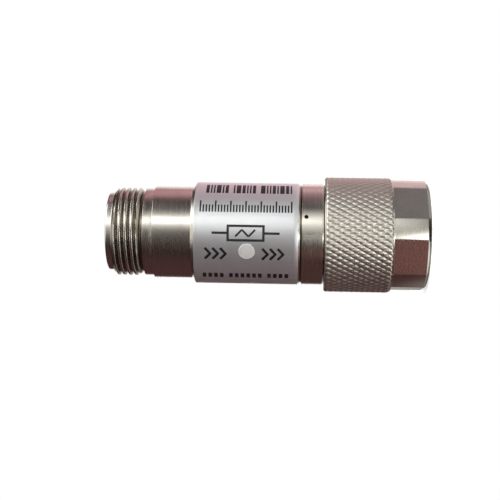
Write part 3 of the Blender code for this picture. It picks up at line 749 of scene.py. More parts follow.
def threaded_jack(thread, finish):
    """Jack shell: spigot, collar, undercut, thread, lip and stepped bore in one turned piece.

    On the thread r = root + depth * the least of the tooth's height and the distance to the
    nearer end of the thread, so that the crest runs out at 45 degrees at both ends.
    """
    root = thread.radius - thread.depth
    pocket = JACK_SPIGOT_BOTTOM + POCKET_DEPTH
    corners = [
        (POCKET_RADIUS, JACK_SPIGOT_BOTTOM),
        (SPIGOT_RADIUS, JACK_SPIGOT_BOTTOM),
        (SPIGOT_RADIUS, COLLAR_BOTTOM),
        (COLLAR_RADIUS, COLLAR_BOTTOM),
        (COLLAR_RADIUS, COLLAR_TOP),
        (UNDERCUT_RADIUS, COLLAR_TOP),
        (UNDERCUT_RADIUS, THREAD_BOTTOM - CORNER),
        (root, THREAD_BOTTOM),
        (root, THREAD_TOP),
        (LIP_RADIUS, THREAD_TOP + CORNER),
        (LIP_RADIUS, JACK_FACE),
        (JACK_BORE_RADIUS, JACK_FACE),
        (JACK_BORE_RADIUS, JACK_PLANE),
        (LINE_RADIUS, JACK_PLANE),
        (LINE_RADIUS, pocket),
        (POCKET_RADIUS, pocket),
    ]
    rounding = np.full(len(corners), 0.04 * MM)
    rounding[10:12] = 0.25 * MM

    def spacing(r, z):
        threaded = (r > LIP_RADIUS) & (z > THREAD_BOTTOM) & (z < THREAD_TOP)
        return np.where(threaded, thread.pitch / 24, 1.0)

    def shape(r, a, z):
        room = np.minimum(z - THREAD_BOTTOM, THREAD_TOP - z) / thread.depth
        height = np.clip(np.minimum(thread_height(a, z, THREAD_BOTTOM, thread), room), 0.0, 1.0)
        threaded = (r > LIP_RADIUS) & (z > THREAD_BOTTOM) & (z < THREAD_TOP)
        return np.where(threaded, root + thread.depth * height, r), z

    outline = refined(softened(corners, rounding, 4), spacing)
    grid = round_the_axis(outline, even_angles(384), shape)
    piece = add_grid("threaded_jack", grid, finish, BODY, sharp=50.0)
    stand_for(piece, "nickel", "jack_shell")


def turned_plug_body(finish):
    """Plug body: head, ring with its blind hole, seam groove and spigot.

    The hole is a pit r - depth * s, with s falling from 1 to 0 at the hole's edge.
    """
    hole_turn = LABEL_SIDE + math.radians(19.5)
    hole_height = SEAM_BOTTOM - 0.75 * MM
    hole_radius = 0.32 * MM
    hole_depth = 0.9 * MM
    pocket = SPIGOT_TOP - POCKET_DEPTH
    corners = [
        (FLANGE_RADIUS, HEAD_FACE),
        (HEAD_RADIUS, HEAD_FACE),
        (HEAD_RADIUS, RING_GROOVE[0]),
        (RING_GROOVE_IN_BODY, RING_GROOVE[0]),
        (RING_GROOVE_IN_BODY, RING_GROOVE[1]),
        (HEAD_RADIUS, RING_GROOVE[1]),
        (HEAD_RADIUS, BODY_SHOULDER),
        (RING_RADIUS, BODY_SHOULDER),
        (RING_RADIUS, SEAM_BOTTOM),
        (SEAM_RADIUS, SEAM_BOTTOM),
        (SEAM_RADIUS, BARREL_BOTTOM - CORNER / 2),
        (SPIGOT_RADIUS, BARREL_BOTTOM - CORNER / 2),
        (SPIGOT_RADIUS, SPIGOT_TOP),
        (POCKET_RADIUS, SPIGOT_TOP),
        (POCKET_RADIUS, pocket),
        (LINE_RADIUS, pocket),
        (LINE_RADIUS, FLANGE_SEAT),
        (FLANGE_RADIUS, FLANGE_SEAT),
    ]

    def spacing(r, z):
        close = (r > SEAM_RADIUS) & (np.abs(z - hole_height) < 2 * hole_radius)
        return np.where(close, 0.03 * MM, np.where(r > SEAM_RADIUS, 0.3 * MM, 1.0))

    def shape(r, a, z):
        across = RING_RADIUS * (a - hole_turn % TURN)
        away = np.hypot(across, z - hole_height)
        pit = 1.0 - smooth_step(away, 0.75 * hole_radius, 1.15 * hole_radius)
        return r - hole_depth * pit * (r > SEAM_RADIUS), z

    near_hole = hole_turn % TURN + np.linspace(-1.0, 1.0, 41) * 2 * hole_radius / RING_RADIUS
    angles = np.union1d(even_angles(192), near_hole)
    outline = refined(refined(softened(corners, 0.06 * MM, 4), spacing), spacing)
    grid = round_the_axis(outline, angles, shape)
    piece = add_grid("turned_plug_body", grid, finish, BODY)
    stand_for(piece, "nickel", "plug_body")


def turned_barrel(finish):
    """Barrel: the land under the label, the bevelled step and the neck."""
    corners = [
        (BARREL_BORE_RADIUS, BARREL_BOTTOM),
        (BARREL_RADIUS, BARREL_BOTTOM),
        (BARREL_RADIUS, LAND_TOP),
        (NECK_RADIUS, NECK_BOTTOM),
        (NECK_RADIUS, BARREL_TOP),
        (BARREL_BORE_RADIUS, BARREL_TOP),
    ]
    grid = round_the_axis(softened(corners, 0.05 * MM, 5), even_angles(192))
    piece = add_grid("turned_barrel", grid, finish, BODY)
    stand_for(piece, "nickel", "barrel")


def closed_at_ends(outline, angles, shape=None):
    """An outline carried over part of a turn, its last loop drawn in to a point at both ends."""
    x, y, z = round_the_axis(outline, angles, shape)

    def drawn_in(axis):
        ends = axis.mean(axis=0)
        first = np.full((len(axis), 1), ends[0])
        last = np.full((len(axis), 1), ends[-1])
        return np.concatenate([first, axis, last], axis=1)

    return drawn_in(x), drawn_in(y), drawn_in(z)


def foil_label(sizes, finish):
    """The label: a thin strip round the barrel from one end at the back to the other.

    Its plug edge is chipped by up to 0.25 mm over a short stretch beside the print.
    """
    outer = LABEL_RADIUS
    inner = outer - sizes.thickness
    low, high = low_z("label"), high_z("label")
    corners = [(inner, low), (outer, low), (outer, high), (inner, high)]

    def shape(r, a, z):
        turned = a - LABEL_SIDE - TURN
        stretch = smooth_step(turned, 0.02, 0.08) * (1 - smooth_step(turned, 0.34, 0.40))
        bites = np.maximum(0.0, np.sin(turned * 31.0) + 0.6 * np.sin(turned * 83.0 + 1.0))
        share = (high - z) / (high - low)
        return r, z + 0.16 * MM * stretch * bites * smooth_step(share, 0.9, 1.0)

    start = math.pi / 2 + sizes.opening / 2
    angles = np.linspace(start, start + TURN - sizes.opening, 420)
    outline = refined(softened(corners, 0.03 * MM, 3), lambda r, z: np.full_like(r, 0.9 * MM))
    grid = closed_at_ends(outline, angles, shape)
    piece = add_grid("foil_label", grid, finish, BODY, wrap_columns=False)
    stand_for(piece, "label", "label")


def strokes_on_label(name, strokes, height, finish):
    """Straight printed strokes bent round the label, all in one piece.

    A stroke runs from (s0, z0) to (s1, z1) with a width, s being the length round the label from
    the middle of the print. Its four-sided section is swept along it, s becomes the angle
    s / radius, and a last loop drawn in to a point closes each end. It stands out of the foil by
    height and is sunk into it by 0.4 of that.
    """
    stroke = np.asarray(strokes, dtype=float) * MM
    start, end, width = stroke[:, 0:2], stroke[:, 2:4], stroke[:, 4]
    run = end - start
    unit = run / np.linalg.norm(run, axis=1)[:, None]
    side = np.stack([-unit[:, 1], unit[:, 0]], axis=-1)
    steps = 9
    along = np.concatenate([[0.0], np.linspace(0.0, 1.0, steps), [1.0]])
    across = np.array([-0.5, 0.5, 0.5, -0.5])
    lift = np.array([0.0, 0.0, 1.0, 1.0])
    open_loop = np.ones(len(along))
    open_loop[[0, -1]] = 0.0
    spread = across[None, None, :] * open_loop[None, :, None] * width[:, None, None]
    middle = start[:, None, :] + run[:, None, :] * along[None, :, None]
    flat = middle[:, :, None, :] + side[:, None, None, :] * spread[..., None]
    rise = np.where(open_loop[:, None] > 0, lift[None, :], 0.5)
    radius = LABEL_RADIUS + height * (1.4 * rise[None] - 0.4)
    angle = LABEL_SIDE + flat[..., 0] / LABEL_RADIUS
    points = np.stack(
        [radius * np.cos(angle), radius * np.sin(angle), flat[..., 1]], axis=-1
    )
    loops = len(along)
    one = grid_faces(loops, 4, False, True)
    offset = np.arange(len(stroke))[:, None, None] * loops * 4
    faces = (one[None] + offset).reshape(-1, 4)
    piece = add_piece(name, points.reshape(-1, 3), faces, finish, BODY)
    outward = bmesh.new()
    outward.from_mesh(piece.data)
    bmesh.ops.recalc_face_normals(outward, faces=outward.faces)
    outward.to_mesh(piece.data)
    outward.free()
    return piece


def upright_bars(s, height, z_start, widths, gap):
    """Bars side by side, each as tall as the row, going down the axis; a width below 0 is bare."""
    width = np.asarray(widths, dtype=float)
    left = z_start - np.concatenate([[0.0], np.cumsum(np.abs(width) + gap)[:-1]])
    shown = width > 0
    middle = (left - width / 2)[shown]
    count = shown.sum()
    return np.stack(
        [
            np.full(count, s - height / 2),
            middle,
            np.full(count, s + height / 2),
            middle,
            width[shown],
        ],
        axis=-1,
    )


def chevrons(s, height, z_start, count, step, width):
    """Arrow heads side by side that point down the axis, each of two slanted strokes."""
    tail = z_start - step * np.arange(count)
    tip = tail - height / 2
    across = np.full(count, s)
    wide = np.full(count, width)
    upper = np.stack([across + height / 2, tail, across - 0.1, tip, wide], axis=-1)
    lower = np.stack([across - height / 2, tail, across + 0.1, tip, wide], axis=-1)
    return np.concatenate([upper, lower])


def label_print(sizes, finish):
    """A bar row, a scale, a resistor symbol, arrow heads and a dash row, in place of words.

    Lengths here are millimetres: s round the label towards +X, z up the axis.
    """
    bars = [0.55, 0.28, 0.28, 0.8, 0.28, 0.55, -0.4, 0.28, 0.8, 0.55, 0.28, 0.28, 0.55, -0.4]
    bars += [0.8, 0.28, 0.28, 0.55, 0.28, 0.8, 0.55, 0.28]
    tick = np.arange(31)
    foot = np.full(len(tick), 3.75)
    tall = np.where(tick % 5 == 0, 2.3, 1.45)
    place = 40.1 - 0.53 * tick
    scale = np.stack([foot, place, foot + tall, place, np.full(len(tick), 0.28)], axis=-1)
    dashes = [0.62] * 4 + [-0.2] + [0.62] * 6 + [-0.2] + [0.62] * 4
    rows = [
        upright_bars(9.5, 3.0, 39.3, bars, 0.24),
        scale,
        chevrons(-3.72, 2.1, 39.2, 3, 1.35, 0.45),
        chevrons(-3.72, 2.1, 29.2, 3, 1.35, 0.45),
        upright_bars(-8.75, 1.3, 39.7, dashes, 0.4),
    ]
    symbol = [
        (0.0, 38.0, 0.0, 35.4, 0.42),
        (-1.25, 35.2, 1.25, 35.2, 0.42),
        (-1.25, 29.0, 1.25, 29.0, 0.42),
        (1.25, 35.4, 1.25, 28.8, 0.42),
        (-1.25, 35.4, -1.25, 28.8, 0.42),
        (0.0, 28.8, 0.0, 26.2, 0.42),
        (-0.6, 33.9, 0.6, 32.75, 0.34),
        (0.6, 32.75, -0.6, 31.6, 0.34),
        (-0.6, 31.6, 0.6, 30.45, 0.34),
    ]
    strokes = np.concatenate([*rows, np.array(symbol)])
    strokes_on_label("label_print", strokes, sizes.ink_height, finish)


def round_sticker(sizes, finish, edge_finish):
    """The round sticker: a disc of polar rings, bent round the label.

    Ring radius d and direction b give s = d sin b and z = d cos b; s becomes an angle. The face
    is one piece and the cut rim, a little lighter, another just outside it.
    """
    thickness = high_dot_radius() - LABEL_RADIUS

    def disc(name, rings, lifts, disc_finish):
        d, b = np.meshgrid(rings, even_angles(64), indexing="ij")
        lift = np.repeat(np.asarray(lifts)[:, None], d.shape[1], axis=1)
        angle = LABEL_SIDE + sizes.dot_turn + d * np.sin(b) / LABEL_RADIUS
        radius = LABEL_RADIUS + lift
        grid = (
            radius * np.cos(angle),
            radius * np.sin(angle),
            sizes.dot_height + d * np.cos(b),
        )
        return add_grid(name, grid, disc_finish, BODY, wrap_rows=False)

    size = sizes.dot_radius
    face = disc(
        "sticker_face",
        [0.0, 0.3 * size, 0.6 * size, 0.86 * size, 0.90 * size, 0.90 * size, 0.0],
        [thickness] * 4 + [0.9 * thickness, 0.0, 0.0],
        finish,
    )
    rim = disc(
        "sticker_rim",
        [0.91 * size, 0.93 * size, 0.98 * size, size, size, 0.91 * size, 0.91 * size],
        [0.8 * thickness, thickness, thickness, 0.7 * thickness, 0.0, 0.0, 0.8 * thickness],
        edge_finish,
    )
    stand_for(face, "dot", "inspection_dot")


def high_dot_radius():
    """Radius of the sticker's face, from its solid's points."""
    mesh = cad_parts["inspection_dot"].data
    points = np.empty(len(mesh.vertices) * 3)
    mesh.vertices.foreach_get("co", points)
    points = points.reshape(-1, 3)
    return float(np.hypot(points[:, 0], points[:, 1]).max())


def sawn_tube(name, corners, slots, width, from_height, to_height, radius, finish):
    """A turned tube with equal slots sawn into one end.

    In a slot z is held between from_height and to_height, which folds the wall away there. The
    slot is as wide as the saw at the given radius.
    """
    half = width / 2 / radius
    finger = TURN / slots
    inner = np.linspace(half, finger - half, 24)
    one = np.concatenate([[0.0], [half], inner, [finger - half]])
    in_slot = np.concatenate([[True], [True], np.zeros(24, dtype=bool), [True]])
    angles = (finger * np.arange(slots)[:, None] + one[None, :]).reshape(-1)
    inside = np.tile(in_slot, slots)

    def shape(r, a, z):
        held = np.clip(z, from_height, to_height)
        return r, np.where(inside[None, :], held, z)

    outline = softened(corners, 0.04 * MM, 3)
    return add_grid(name, round_the_axis(outline, angles, shape), finish, BODY, sharp=40.0)


def turned_piece(name, corners, finish, rounding=0.05 * MM):
    """A plain ring or rod. A rod's outline starts and ends on the axis, where it is welded."""
    rod = corners[0][0] == 0.0
    radii = np.full(len(corners), rounding)
    if rod:
        radii[[0, -1]] = 0.0
    outline = softened(corners, radii, 4)
    grid = round_the_axis(outline, even_angles(96))
    return add_grid(name, grid, finish, BODY, wrap_rows=not rod)


def plug_contacts(look, gold, ptfe):
    """Slotted outer contact, centre pin, its bead and the gasket on the plug body's face."""
    nickel = nickel_plate("nickel_plate_contact", look, 0.05 * MM, 0.22)
    # Moulded silicone rubber: dark brick red, dull and slightly uneven
    rubber = fine_grained("silicone_rubber", look.rubber, 0.7, 0.2 * MM, 0.6, 0.02 * MM)
    tip = low_z("plug_outer_contact")
    top = high_z("plug_outer_contact")
    outer = LINE_RADIUS + 0.5 * MM
    sleeve = sawn_tube(
        "plug_sleeve",
        [
            (LINE_RADIUS, tip),
            (outer - 0.17 * MM, tip),
            (outer, tip + 0.17 * MM),
            (outer, HEAD_FACE),
            (FLANGE_RADIUS - 0.05 * MM, HEAD_FACE),
            (FLANGE_RADIUS - 0.05 * MM, top),
            (LINE_RADIUS, top),
        ],
        SLOTS,
        0.45 * MM,
        tip + 4.2 * MM,
        top,
        outer,
        nickel,
    )
    stand_for(sleeve, "nickel", "plug_outer_contact")
    pin_tip, pin_end = low_z("plug_pin"), high_z("plug_pin")
    pin = turned_piece(
        "gold_pin",
        [
            (0.0, pin_tip),
            (PIN_RADIUS / 2, pin_tip),
            (PIN_RADIUS, pin_tip + 0.6 * MM),
            (PIN_RADIUS, pin_tip + 4.95 * MM),
            (CONDUCTOR_RADIUS, pin_tip + 4.95 * MM),
            (CONDUCTOR_RADIUS, PIN_NECK_START),
            (CONDUCTOR_NECK, PIN_NECK_START),
            (CONDUCTOR_NECK, pin_end - CARD_STUB_LENGTH),
            (CARD_STUB, pin_end - CARD_STUB_LENGTH),
            (CARD_STUB, pin_end),
            (0.0, pin_end),
        ],
        gold,
        0.12 * MM,
    )
    stand_for(pin, "gold", "plug_pin")
    low, high = low_z("gasket"), high_z("gasket")
    ring = turned_piece(
        "rubber_gasket",
        [(4.3 * MM, low), (6.6 * MM, low), (6.6 * MM, high), (4.3 * MM, high)],
        rubber,
        0.25 * MM,
    )
    stand_for(ring, "gasket", "gasket")
    bead = insulating_bead("plug_ptfe_bead", low_z("plug_bead"), high_z("plug_bead"), ptfe)
    stand_for(bead, "ptfe", "plug_bead")


def insulating_bead(name, front, back, finish):
    """Bead with a shallow ring turned into its front face, at either end of the line."""
    inward = 0.31 * MM if back > front else -0.31 * MM
    ring = 2.51 * MM
    corners = [
        (BEAD_BORE_RADIUS, front),
        (ring, front),
        (ring, front + inward),
        (LINE_RADIUS, front + inward),
        (LINE_RADIUS, front),
        (BEAD_RADIUS, front),
        (BEAD_RADIUS, back),
        (BEAD_BORE_RADIUS, back),
    ]
    if back < front:
        corners.reverse()
    return turned_piece(name, corners, finish)


def jack_contacts(gold, ptfe):
    """Slotted socket of the jack and its bead; the bore between tail and socket is a hair wide."""
    tail, tip = low_z("jack_socket"), high_z("jack_socket")
    hair = 0.02 * MM
    bore = PIN_RADIUS + 0.03 * MM
    socket = sawn_tube(
        "gold_socket",
        [
            (hair, tail),
            (CARD_STUB, tail),
            (CARD_STUB, tail + CARD_STUB_LENGTH),
            (CONDUCTOR_NECK, tail + CARD_STUB_LENGTH),
            (CONDUCTOR_NECK, SOCKET_NECK_END),
            (CONDUCTOR_RADIUS, SOCKET_NECK_END),
            (CONDUCTOR_RADIUS, tip - 0.2 * MM),
            (CONDUCTOR_RADIUS - 0.2 * MM, tip),
            (bore + 0.2 * MM, tip),
            (bore, tip - 0.2 * MM),
            (bore, tip - 4.2 * MM),
            (hair, tip - 4.2 * MM),
        ],
        SLOTS,
        0.26 * MM,
        tail,
        tip - 3.6 * MM,
        CONDUCTOR_RADIUS,
        gold,
    )
    stand_for(socket, "gold", "jack_socket")
    bead = insulating_bead("jack_ptfe_bead", high_z("jack_bead"), low_z("jack_bead"), ptfe)
    stand_for(bead, "ptfe", "jack_bead")


def hidden_finishes(look, gold):
    """Finishes of the pieces inside, which keep their own solids."""
    nickel = nickel_plate("nickel_plate_inside", look, 0.08 * MM, 0.3)
    # Drawn spring wire: bright, with finer marks than the turned pieces
    steel = nickel_plate("spring_steel", look, 0.03 * MM, 0.2)
    # Fired alumina: chalk white with a fine even grain
    ceramic = fine_grained("fired_alumina", look.ceramic, 0.9, 0.15 * MM, 0.55, 0.004 * MM)
    finishes = {
        "retaining_ring": steel,
        "plug_bead_retainer": nickel,
        "jack_bead_retainer": nickel,
        "card_holder_front": nickel,
        "card_holder_rear": nickel,
        "attenuator_card": ceramic,
        "plug_card_contact": gold,
        "jack_card_contact": gold,
    }
    for node, finish in finishes.items():
        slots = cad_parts[node].data.materials
        slots.clear()
        slots.append(finish)


# Studio


def facing(beta):
    """Angle from +X of a direction that is turned by beta from the label side towards +X."""
    return LABEL_SIDE + math.radians(beta)


def add_lamp(name, beta, rise, distance, size, radiance, tint):
    """A soft box facing the middle of the part, with its brightness given as radiance.

    A lamp of area A and power P has the radiance P / (pi A).
    """
    lamp = bpy.data.lights.new(name, "AREA")
    lamp.shape = "RECTANGLE"
    lamp.size, lamp.size_y = size
    lamp.energy = radiance * math.pi * size[0] * size[1]
    lamp.color = colour(tint)
    placed = bpy.data.objects.new(name, lamp)
    turn = facing(beta)
    level = distance * math.cos(math.radians(rise))
    away = Vector(
        (
            math.cos(turn) * level,
            math.sin(turn) * level,
            distance * math.sin(math.radians(rise)),
        )
    )
    placed.location = Vector((0.0, 0.0, JACK_FACE / 2)) + away
    placed.rotation_mode = "QUATERNION"
    placed.rotation_quaternion = (-away).to_track_quat("-Z", "Y")
    placed.visible_camera = False
    bpy.context.scene.collection.objects.link(placed)


def add_camera():
    """The photograph's view: the label side, with the jack to the left and +X at the top."""
    lens = bpy.data.cameras.new("camera")
    lens.lens = 79.5
    lens.sensor_width = 36.0
    lens.clip_start = 0.01
    lens.clip_end = 10.0
    camera = bpy.data.objects.new("camera", lens)
    eye = Vector((0.0, -0.200, 24.5 * MM))
    aim = Vector((-3.03 * MM, 0.0, 31.6 * MM))
    back = (eye - aim).normalized()
    right = Vector((0.0, 0.0, -1.0))
    up = back.cross(right).normalized()
    right = up.cross(back).normalized()
    turned = Matrix.Rotation(math.radians(1.0), 3, back)
    axes = Matrix((turned @ right, turned @ up, back)).transposed()
    camera.matrix_world = Matrix.Translation(eye) @ axes.to_4x4()
    bpy.context.scene.collection.objects.link(camera)
    bpy.context.scene.camera = camera


def seen_directly(tree):
    """1 for camera, glossy and transmission rays, and 0 for the rays that only carry light."""
    path = add_node(tree, "ShaderNodeLightPath")
    either = add_node(
        tree,
        "ShaderNodeMath",
        {0: path.outputs["Is Camera Ray"], 1: path.outputs["Is Glossy Ray"]},
        operation="MAXIMUM",
    )
    any_of_them = add_node(
        tree,
        "ShaderNodeMath",
        {0: either.outputs[0], 1: path.outputs["Is Transmission Ray"]},
        operation="MAXIMUM",
    )
    return any_of_them.outputs[0]


def add_world():
    """White where it is seen or mirrored, and a plain dim light otherwise."""
    world = bpy.data.worlds.new("studio")
    bpy.context.scene.world = world
    world.use_nodes = True
    tree = world.node_tree
    tree.nodes.clear()
    plain = (1.0, 1.0, 1.0, 1.0)
    light = add_node(tree, "ShaderNodeBackground", {"Color": plain, "Strength": 0.2})
    white = add_node(tree, "ShaderNodeBackground", {"Color": plain})
    mix = add_node(
        tree,
        "ShaderNodeMixShader",
        {0: seen_directly(tree), 1: light.outputs[0], 2: white.outputs[0]},
    )
    add_node(tree, "ShaderNodeOutputWorld", {0: mix.outputs[0]})


def from_axis(tree, low, high, most):
    """0 within one radius of the axis, rising smoothly to a value at another."""
    place = add_node(tree, "ShaderNodeTexCoord").outputs["Object"]
    radius = add_node(tree, "ShaderNodeVectorMath", {0: place}, operation="LENGTH")
    return add_node(
        tree,
        "ShaderNodeMapRange",
        {
            "Value": radius.outputs["Value"],
            "From Min": low,
            "From Max": high,
            "To Min": 0.0,
            "To Max": most,
        },
        interpolation_type="SMOOTHSTEP",
    ).outputs[0]


def add_stage_mesh(name, grid, wrap_rows, finish):
    """A piece of the studio from arrays x, y and z over a grid that closes round the axis."""
    rows, columns = grid[0].shape
    points = np.stack([axis.reshape(-1) for axis in grid], axis=-1)
    mesh = bpy.data.meshes.new(name)
    mesh.from_pydata(points, [], grid_faces(rows, columns, wrap_rows, True))
    mesh.shade_smooth()
    mesh.materials.append(finish)
    piece = bpy.data.objects.new(name, mesh)
    bpy.context.scene.collection.objects.link(piece)
    return piece


def add_floor(look):
    """A pale round floor: rings of growing radius round the axis, just under the nut's face.

    Its edge is as white as the background, so it has no end that the eye can see.
    """
    radii = FLOOR_RADIUS * np.linspace(0.0, 1.0, 13)
    r, b = np.meshgrid(radii, even_angles(96), indexing="ij")
    grid = (r * np.cos(b), r * np.sin(b), np.full_like(r, -0.02 * MM))
    made, tree, shader = new_finish("painted_floor")
    shader.inputs["Base Color"].default_value = rgba(look.floor)
    shader.inputs["Roughness"].default_value = 0.8
    shader.inputs["Specular IOR Level"].default_value = 0.2
    share = add_node(
        tree,
        "ShaderNodeMath",
        {0: seen_directly(tree), 1: from_axis(tree, 4.0 * MM, 0.54 * FLOOR_RADIUS, 1.0)},
        operation="MULTIPLY",
    )
    glow = add_node(
        tree,
        "ShaderNodeEmission",
        {"Color": (1.0, 1.0, 1.0, 1.0), "Strength": share.outputs[0]},
    )
    both = add_node(tree, "ShaderNodeAddShader", {0: shader.outputs[0], 1: glow.outputs[0]})
    tree.links.new(both.outputs[0], tree.nodes["Material Output"].inputs["Surface"])
    add_stage_mesh("floor", grid, False, made).visible_glossy = False


def glow_towards(tree, direction, beta, rise, low, high, most):
    """0 away from a direction of the studio, rising smoothly to a value near it.

    low and high are the angles in degrees from that direction at which it starts and is full.
    """
    turn, up = facing(beta), math.radians(rise)
    aim = (math.cos(turn) * math.cos(up), math.sin(turn) * math.cos(up), math.sin(up))
    towards = add_node(
        tree, "ShaderNodeVectorMath", {0: direction, 1: aim}, operation="DOT_PRODUCT"
    )
    return add_node(
        tree,
        "ShaderNodeMapRange",
        {
            "Value": towards.outputs["Value"],
            "From Min": math.cos(math.radians(low)),
            "From Max": math.cos(math.radians(high)),
            "To Min": 0.0,
            "To Max": most,
        },
        interpolation_type="SMOOTHSTEP",
    ).outputs[0]


def add_tent():
    """Sphere of cloth round the part, which the metal mirrors: dark, with soft lights all round.

    The glow round the key lamp gives the highlight its soft edges, the low ones light the hexagon
    and the threads' flanks, and those behind and above show the far side. The camera sees past
    the cloth to the white background.
    """
    rise, b = np.meshgrid(np.linspace(-0.5, 0.5, 33) * math.pi, even_angles(64), indexing="ij")
    level = STUDIO_RADIUS * np.cos(rise)
    grid = (level * np.cos(b), level * np.sin(b), STUDIO_RADIUS * np.sin(rise))
    made, tree, _ = new_finish("studio_cloth")
    place = add_node(tree, "ShaderNodeTexCoord").outputs["Object"]
    direction = add_node(
        tree, "ShaderNodeVectorMath", {0: place}, operation="NORMALIZE"
    ).outputs[0]
    whole = add_node(
        tree,
        "ShaderNodeEmission",
        {"Color": rgba(colour(TENT_BASE[0])), "Strength": TENT_BASE[1]},
    ).outputs[0]
    for tint, beta, rise_of, low, high, most in TENT_GLOWS:
        shade = add_node(
            tree,
            "ShaderNodeEmission",
            {
                "Color": rgba(colour(tint)),
                "Strength": glow_towards(tree, direction, beta, rise_of, low, high, most),
            },
        ).outputs[0]
        whole = add_node(tree, "ShaderNodeAddShader", {0: whole, 1: shade}).outputs[0]
    tree.links.new(whole, tree.nodes["Material Output"].inputs["Surface"])
    add_stage_mesh("studio_tent", grid, False, made).visible_camera = False


# Operators


class ATTENUATOR_OT_coupling_nut(bpy.types.Operator):
    """Builds the coupling nut with its knurl, hexagon and inner thread"""

    bl_idname = "attenuator.coupling_nut"
    bl_label = "Coupling nut"

    def execute(self, context):
        scene = context.scene
        knurl = scene.attenuator_knurl
        valley = CREST_RADIUS - knurl.depth
        look = scene.attenuator_finish
        milled = nickel_plate("nickel_plate_milled", look, 0.07 * MM, 0.26)
        # Knurled plate: painted shade darkens the grooves between the diamonds, up to 0.3 of the
        # way to dull brown
        rolled = nickel_plate(
            "nickel_plate_knurled",
            look,
            0.07 * MM,
            0.43,
            (valley, valley + 0.6 * knurl.depth, 0.3, BARREL_BOTTOM),
        )
        milled_nut(knurl, scene.attenuator_thread, milled)
        knurled_grip(knurl, rolled)
        return {"FINISHED"}


class ATTENUATOR_OT_turned_bodies(bpy.types.Operator):
    """Builds the plug body, the barrel and the threaded jack"""

    bl_idname = "attenuator.turned_bodies"
    bl_label = "Turned bodies"

    def execute(self, context):
        scene = context.scene
        look = scene.attenuator_finish
        thread = scene.attenuator_thread
        plain = nickel_plate("nickel_plate_turned", look, 0.06 * MM, 0.24)
        # Threaded plate: painted shade darkens the thread's roots and flanks almost to the crests,
        # up to 0.9 of the way to dull brown
        threaded = nickel_plate(
            "nickel_plate_threaded",
            look,
            0.06 * MM,
            0.26,
            (thread.radius - thread.depth, thread.radius, 0.9, THREAD_TOP),
        )
        # Plug body's plate: painted shade makes everything narrower than the ring, below the
        # barrel, fully dull brown, which shows as a dark seam groove
        seamed = nickel_plate(
            "nickel_plate_seamed",
            look,
            0.06 * MM,
            0.24,
            (SEAM_RADIUS, RING_RADIUS - 0.05 * MM, 1.0, BARREL_BOTTOM),
        )
        turned_plug_body(seamed)
        turned_barrel(plain)
        threaded_jack(thread, threaded)
        return {"FINISHED"}


class ATTENUATOR_OT_label(bpy.types.Operator):
    """Builds the foil label, its print and the round sticker"""

    bl_idname = "attenuator.label"
    bl_label = "Label"

    def execute(self, context):
        scene = context.scene
        look = scene.attenuator_finish
        sizes = scene.attenuator_label
        # Screened ink: flat near black that catches a little of the highlight
        ink = fine_grained("printing_ink", look.ink, 0.6, 0.2 * MM, 0.5, 0.002 * MM)
        # Uncoated paper: an even grey with no shine, and whiter where it was cut
        paper = fine_grained("matt_paper", look.paper, 0.94, 0.2 * MM, 0.8, 0.004 * MM)
        edge = fine_grained("cut_paper", look.paper_rim, 0.92, 0.2 * MM, 0.8, 0.004 * MM)
        foil_label(sizes, label_foil(look))
        label_print(sizes, ink)
        round_sticker(sizes, paper, edge)
        return {"FINISHED"}


class ATTENUATOR_OT_contacts(bpy.types.Operator):
    """Builds the contacts, beads and gasket that show in the plug's and the jack's mouth"""

    bl_idname = "attenuator.contacts"
    bl_label = "Contacts"

    def execute(self, context):
        look = context.scene.attenuator_finish
        gold = gold_plate(look)
        # Machined PTFE: milky white with a waxy, soft shine
        ptfe = fine_grained("machined_ptfe", look.ptfe, 0.93, 0.3 * MM, 0.42, 0.01 * MM)
        plug_contacts(look, gold, ptfe)
        jack_contacts(gold, ptfe)
        hidden_finishes(look, gold)
        return {"FINISHED"}


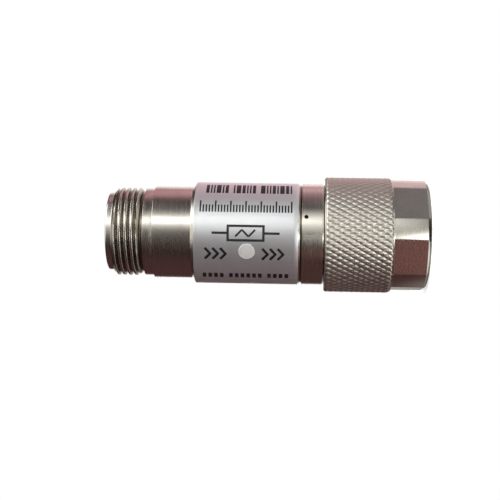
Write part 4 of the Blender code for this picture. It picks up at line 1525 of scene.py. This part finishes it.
class ATTENUATOR_OT_studio(bpy.types.Operator):
    """Builds the floor, the cloth round it, the lamps, the world and the camera"""

    bl_idname = "attenuator.studio"
    bl_label = "Studio"

    def execute(self, context):
        add_floor(context.scene.attenuator_finish)
        add_tent()
        add_lamp("key", 29.5, 18.0, 0.42, (0.12, 0.30), 1.9, "#FFFDF8")
        add_lamp("fill", 68.0, 50.0, 0.50, (0.40, 0.40), 3.2, "#FFFFFF")
        add_lamp("rim", 152.0, 0.0, 0.45, (0.20, 0.40), 0.6, "#FFF0F0")
        add_lamp("back", 182.0, 16.0, 0.42, (0.20, 0.30), 1.5, "#FFFDF8")
        add_world()
        add_camera()
        context.scene.view_settings.view_transform = "Standard"
        return {"FINISHED"}


class ATTENUATOR_PT_panel(bpy.types.Panel):
    """The attenuator's sizes, colours and build steps"""

    bl_idname = "ATTENUATOR_PT_panel"
    bl_label = "Attenuator"
    bl_space_type = "VIEW_3D"
    bl_region_type = "UI"
    bl_category = "Attenuator"

    def draw(self, context):
        layout = self.layout
        for group in PROPERTY_GROUPS:
            box = layout.box()
            values = getattr(context.scene, group)
            for field in values.bl_rna.properties:
                if field.identifier not in ("rna_type", "name"):
                    box.prop(values, field.identifier)
        for operator in OPERATORS:
            layout.operator(operator.bl_idname)


PROPERTY_GROUPS = {
    "attenuator_knurl": KnurlSizes,
    "attenuator_thread": ThreadSizes,
    "attenuator_label": LabelSizes,
    "attenuator_finish": FinishColours,
}
OPERATORS = (
    ATTENUATOR_OT_coupling_nut,
    ATTENUATOR_OT_turned_bodies,
    ATTENUATOR_OT_label,
    ATTENUATOR_OT_contacts,
    ATTENUATOR_OT_studio,
)
CLASSES = (*PROPERTY_GROUPS.values(), *OPERATORS, ATTENUATOR_PT_panel)


def register():
    """Makes the classes and the scene's settings known."""
    for made in CLASSES:
        bpy.utils.register_class(made)
    for name, group in PROPERTY_GROUPS.items():
        setattr(bpy.types.Scene, name, bpy.props.PointerProperty(type=group))


def unregister():
    """Takes them away again, in the opposite order."""
    for name in PROPERTY_GROUPS:
        delattr(bpy.types.Scene, name)
    for made in reversed(CLASSES):
        bpy.utils.unregister_class(made)


def main():
    """Builds every piece and the studio."""
    register()
    bpy.ops.attenuator.coupling_nut()
    bpy.ops.attenuator.turned_bodies()
    bpy.ops.attenuator.label()
    bpy.ops.attenuator.contacts()
    bpy.ops.attenuator.studio()


if __name__ == "__main__":
    main()
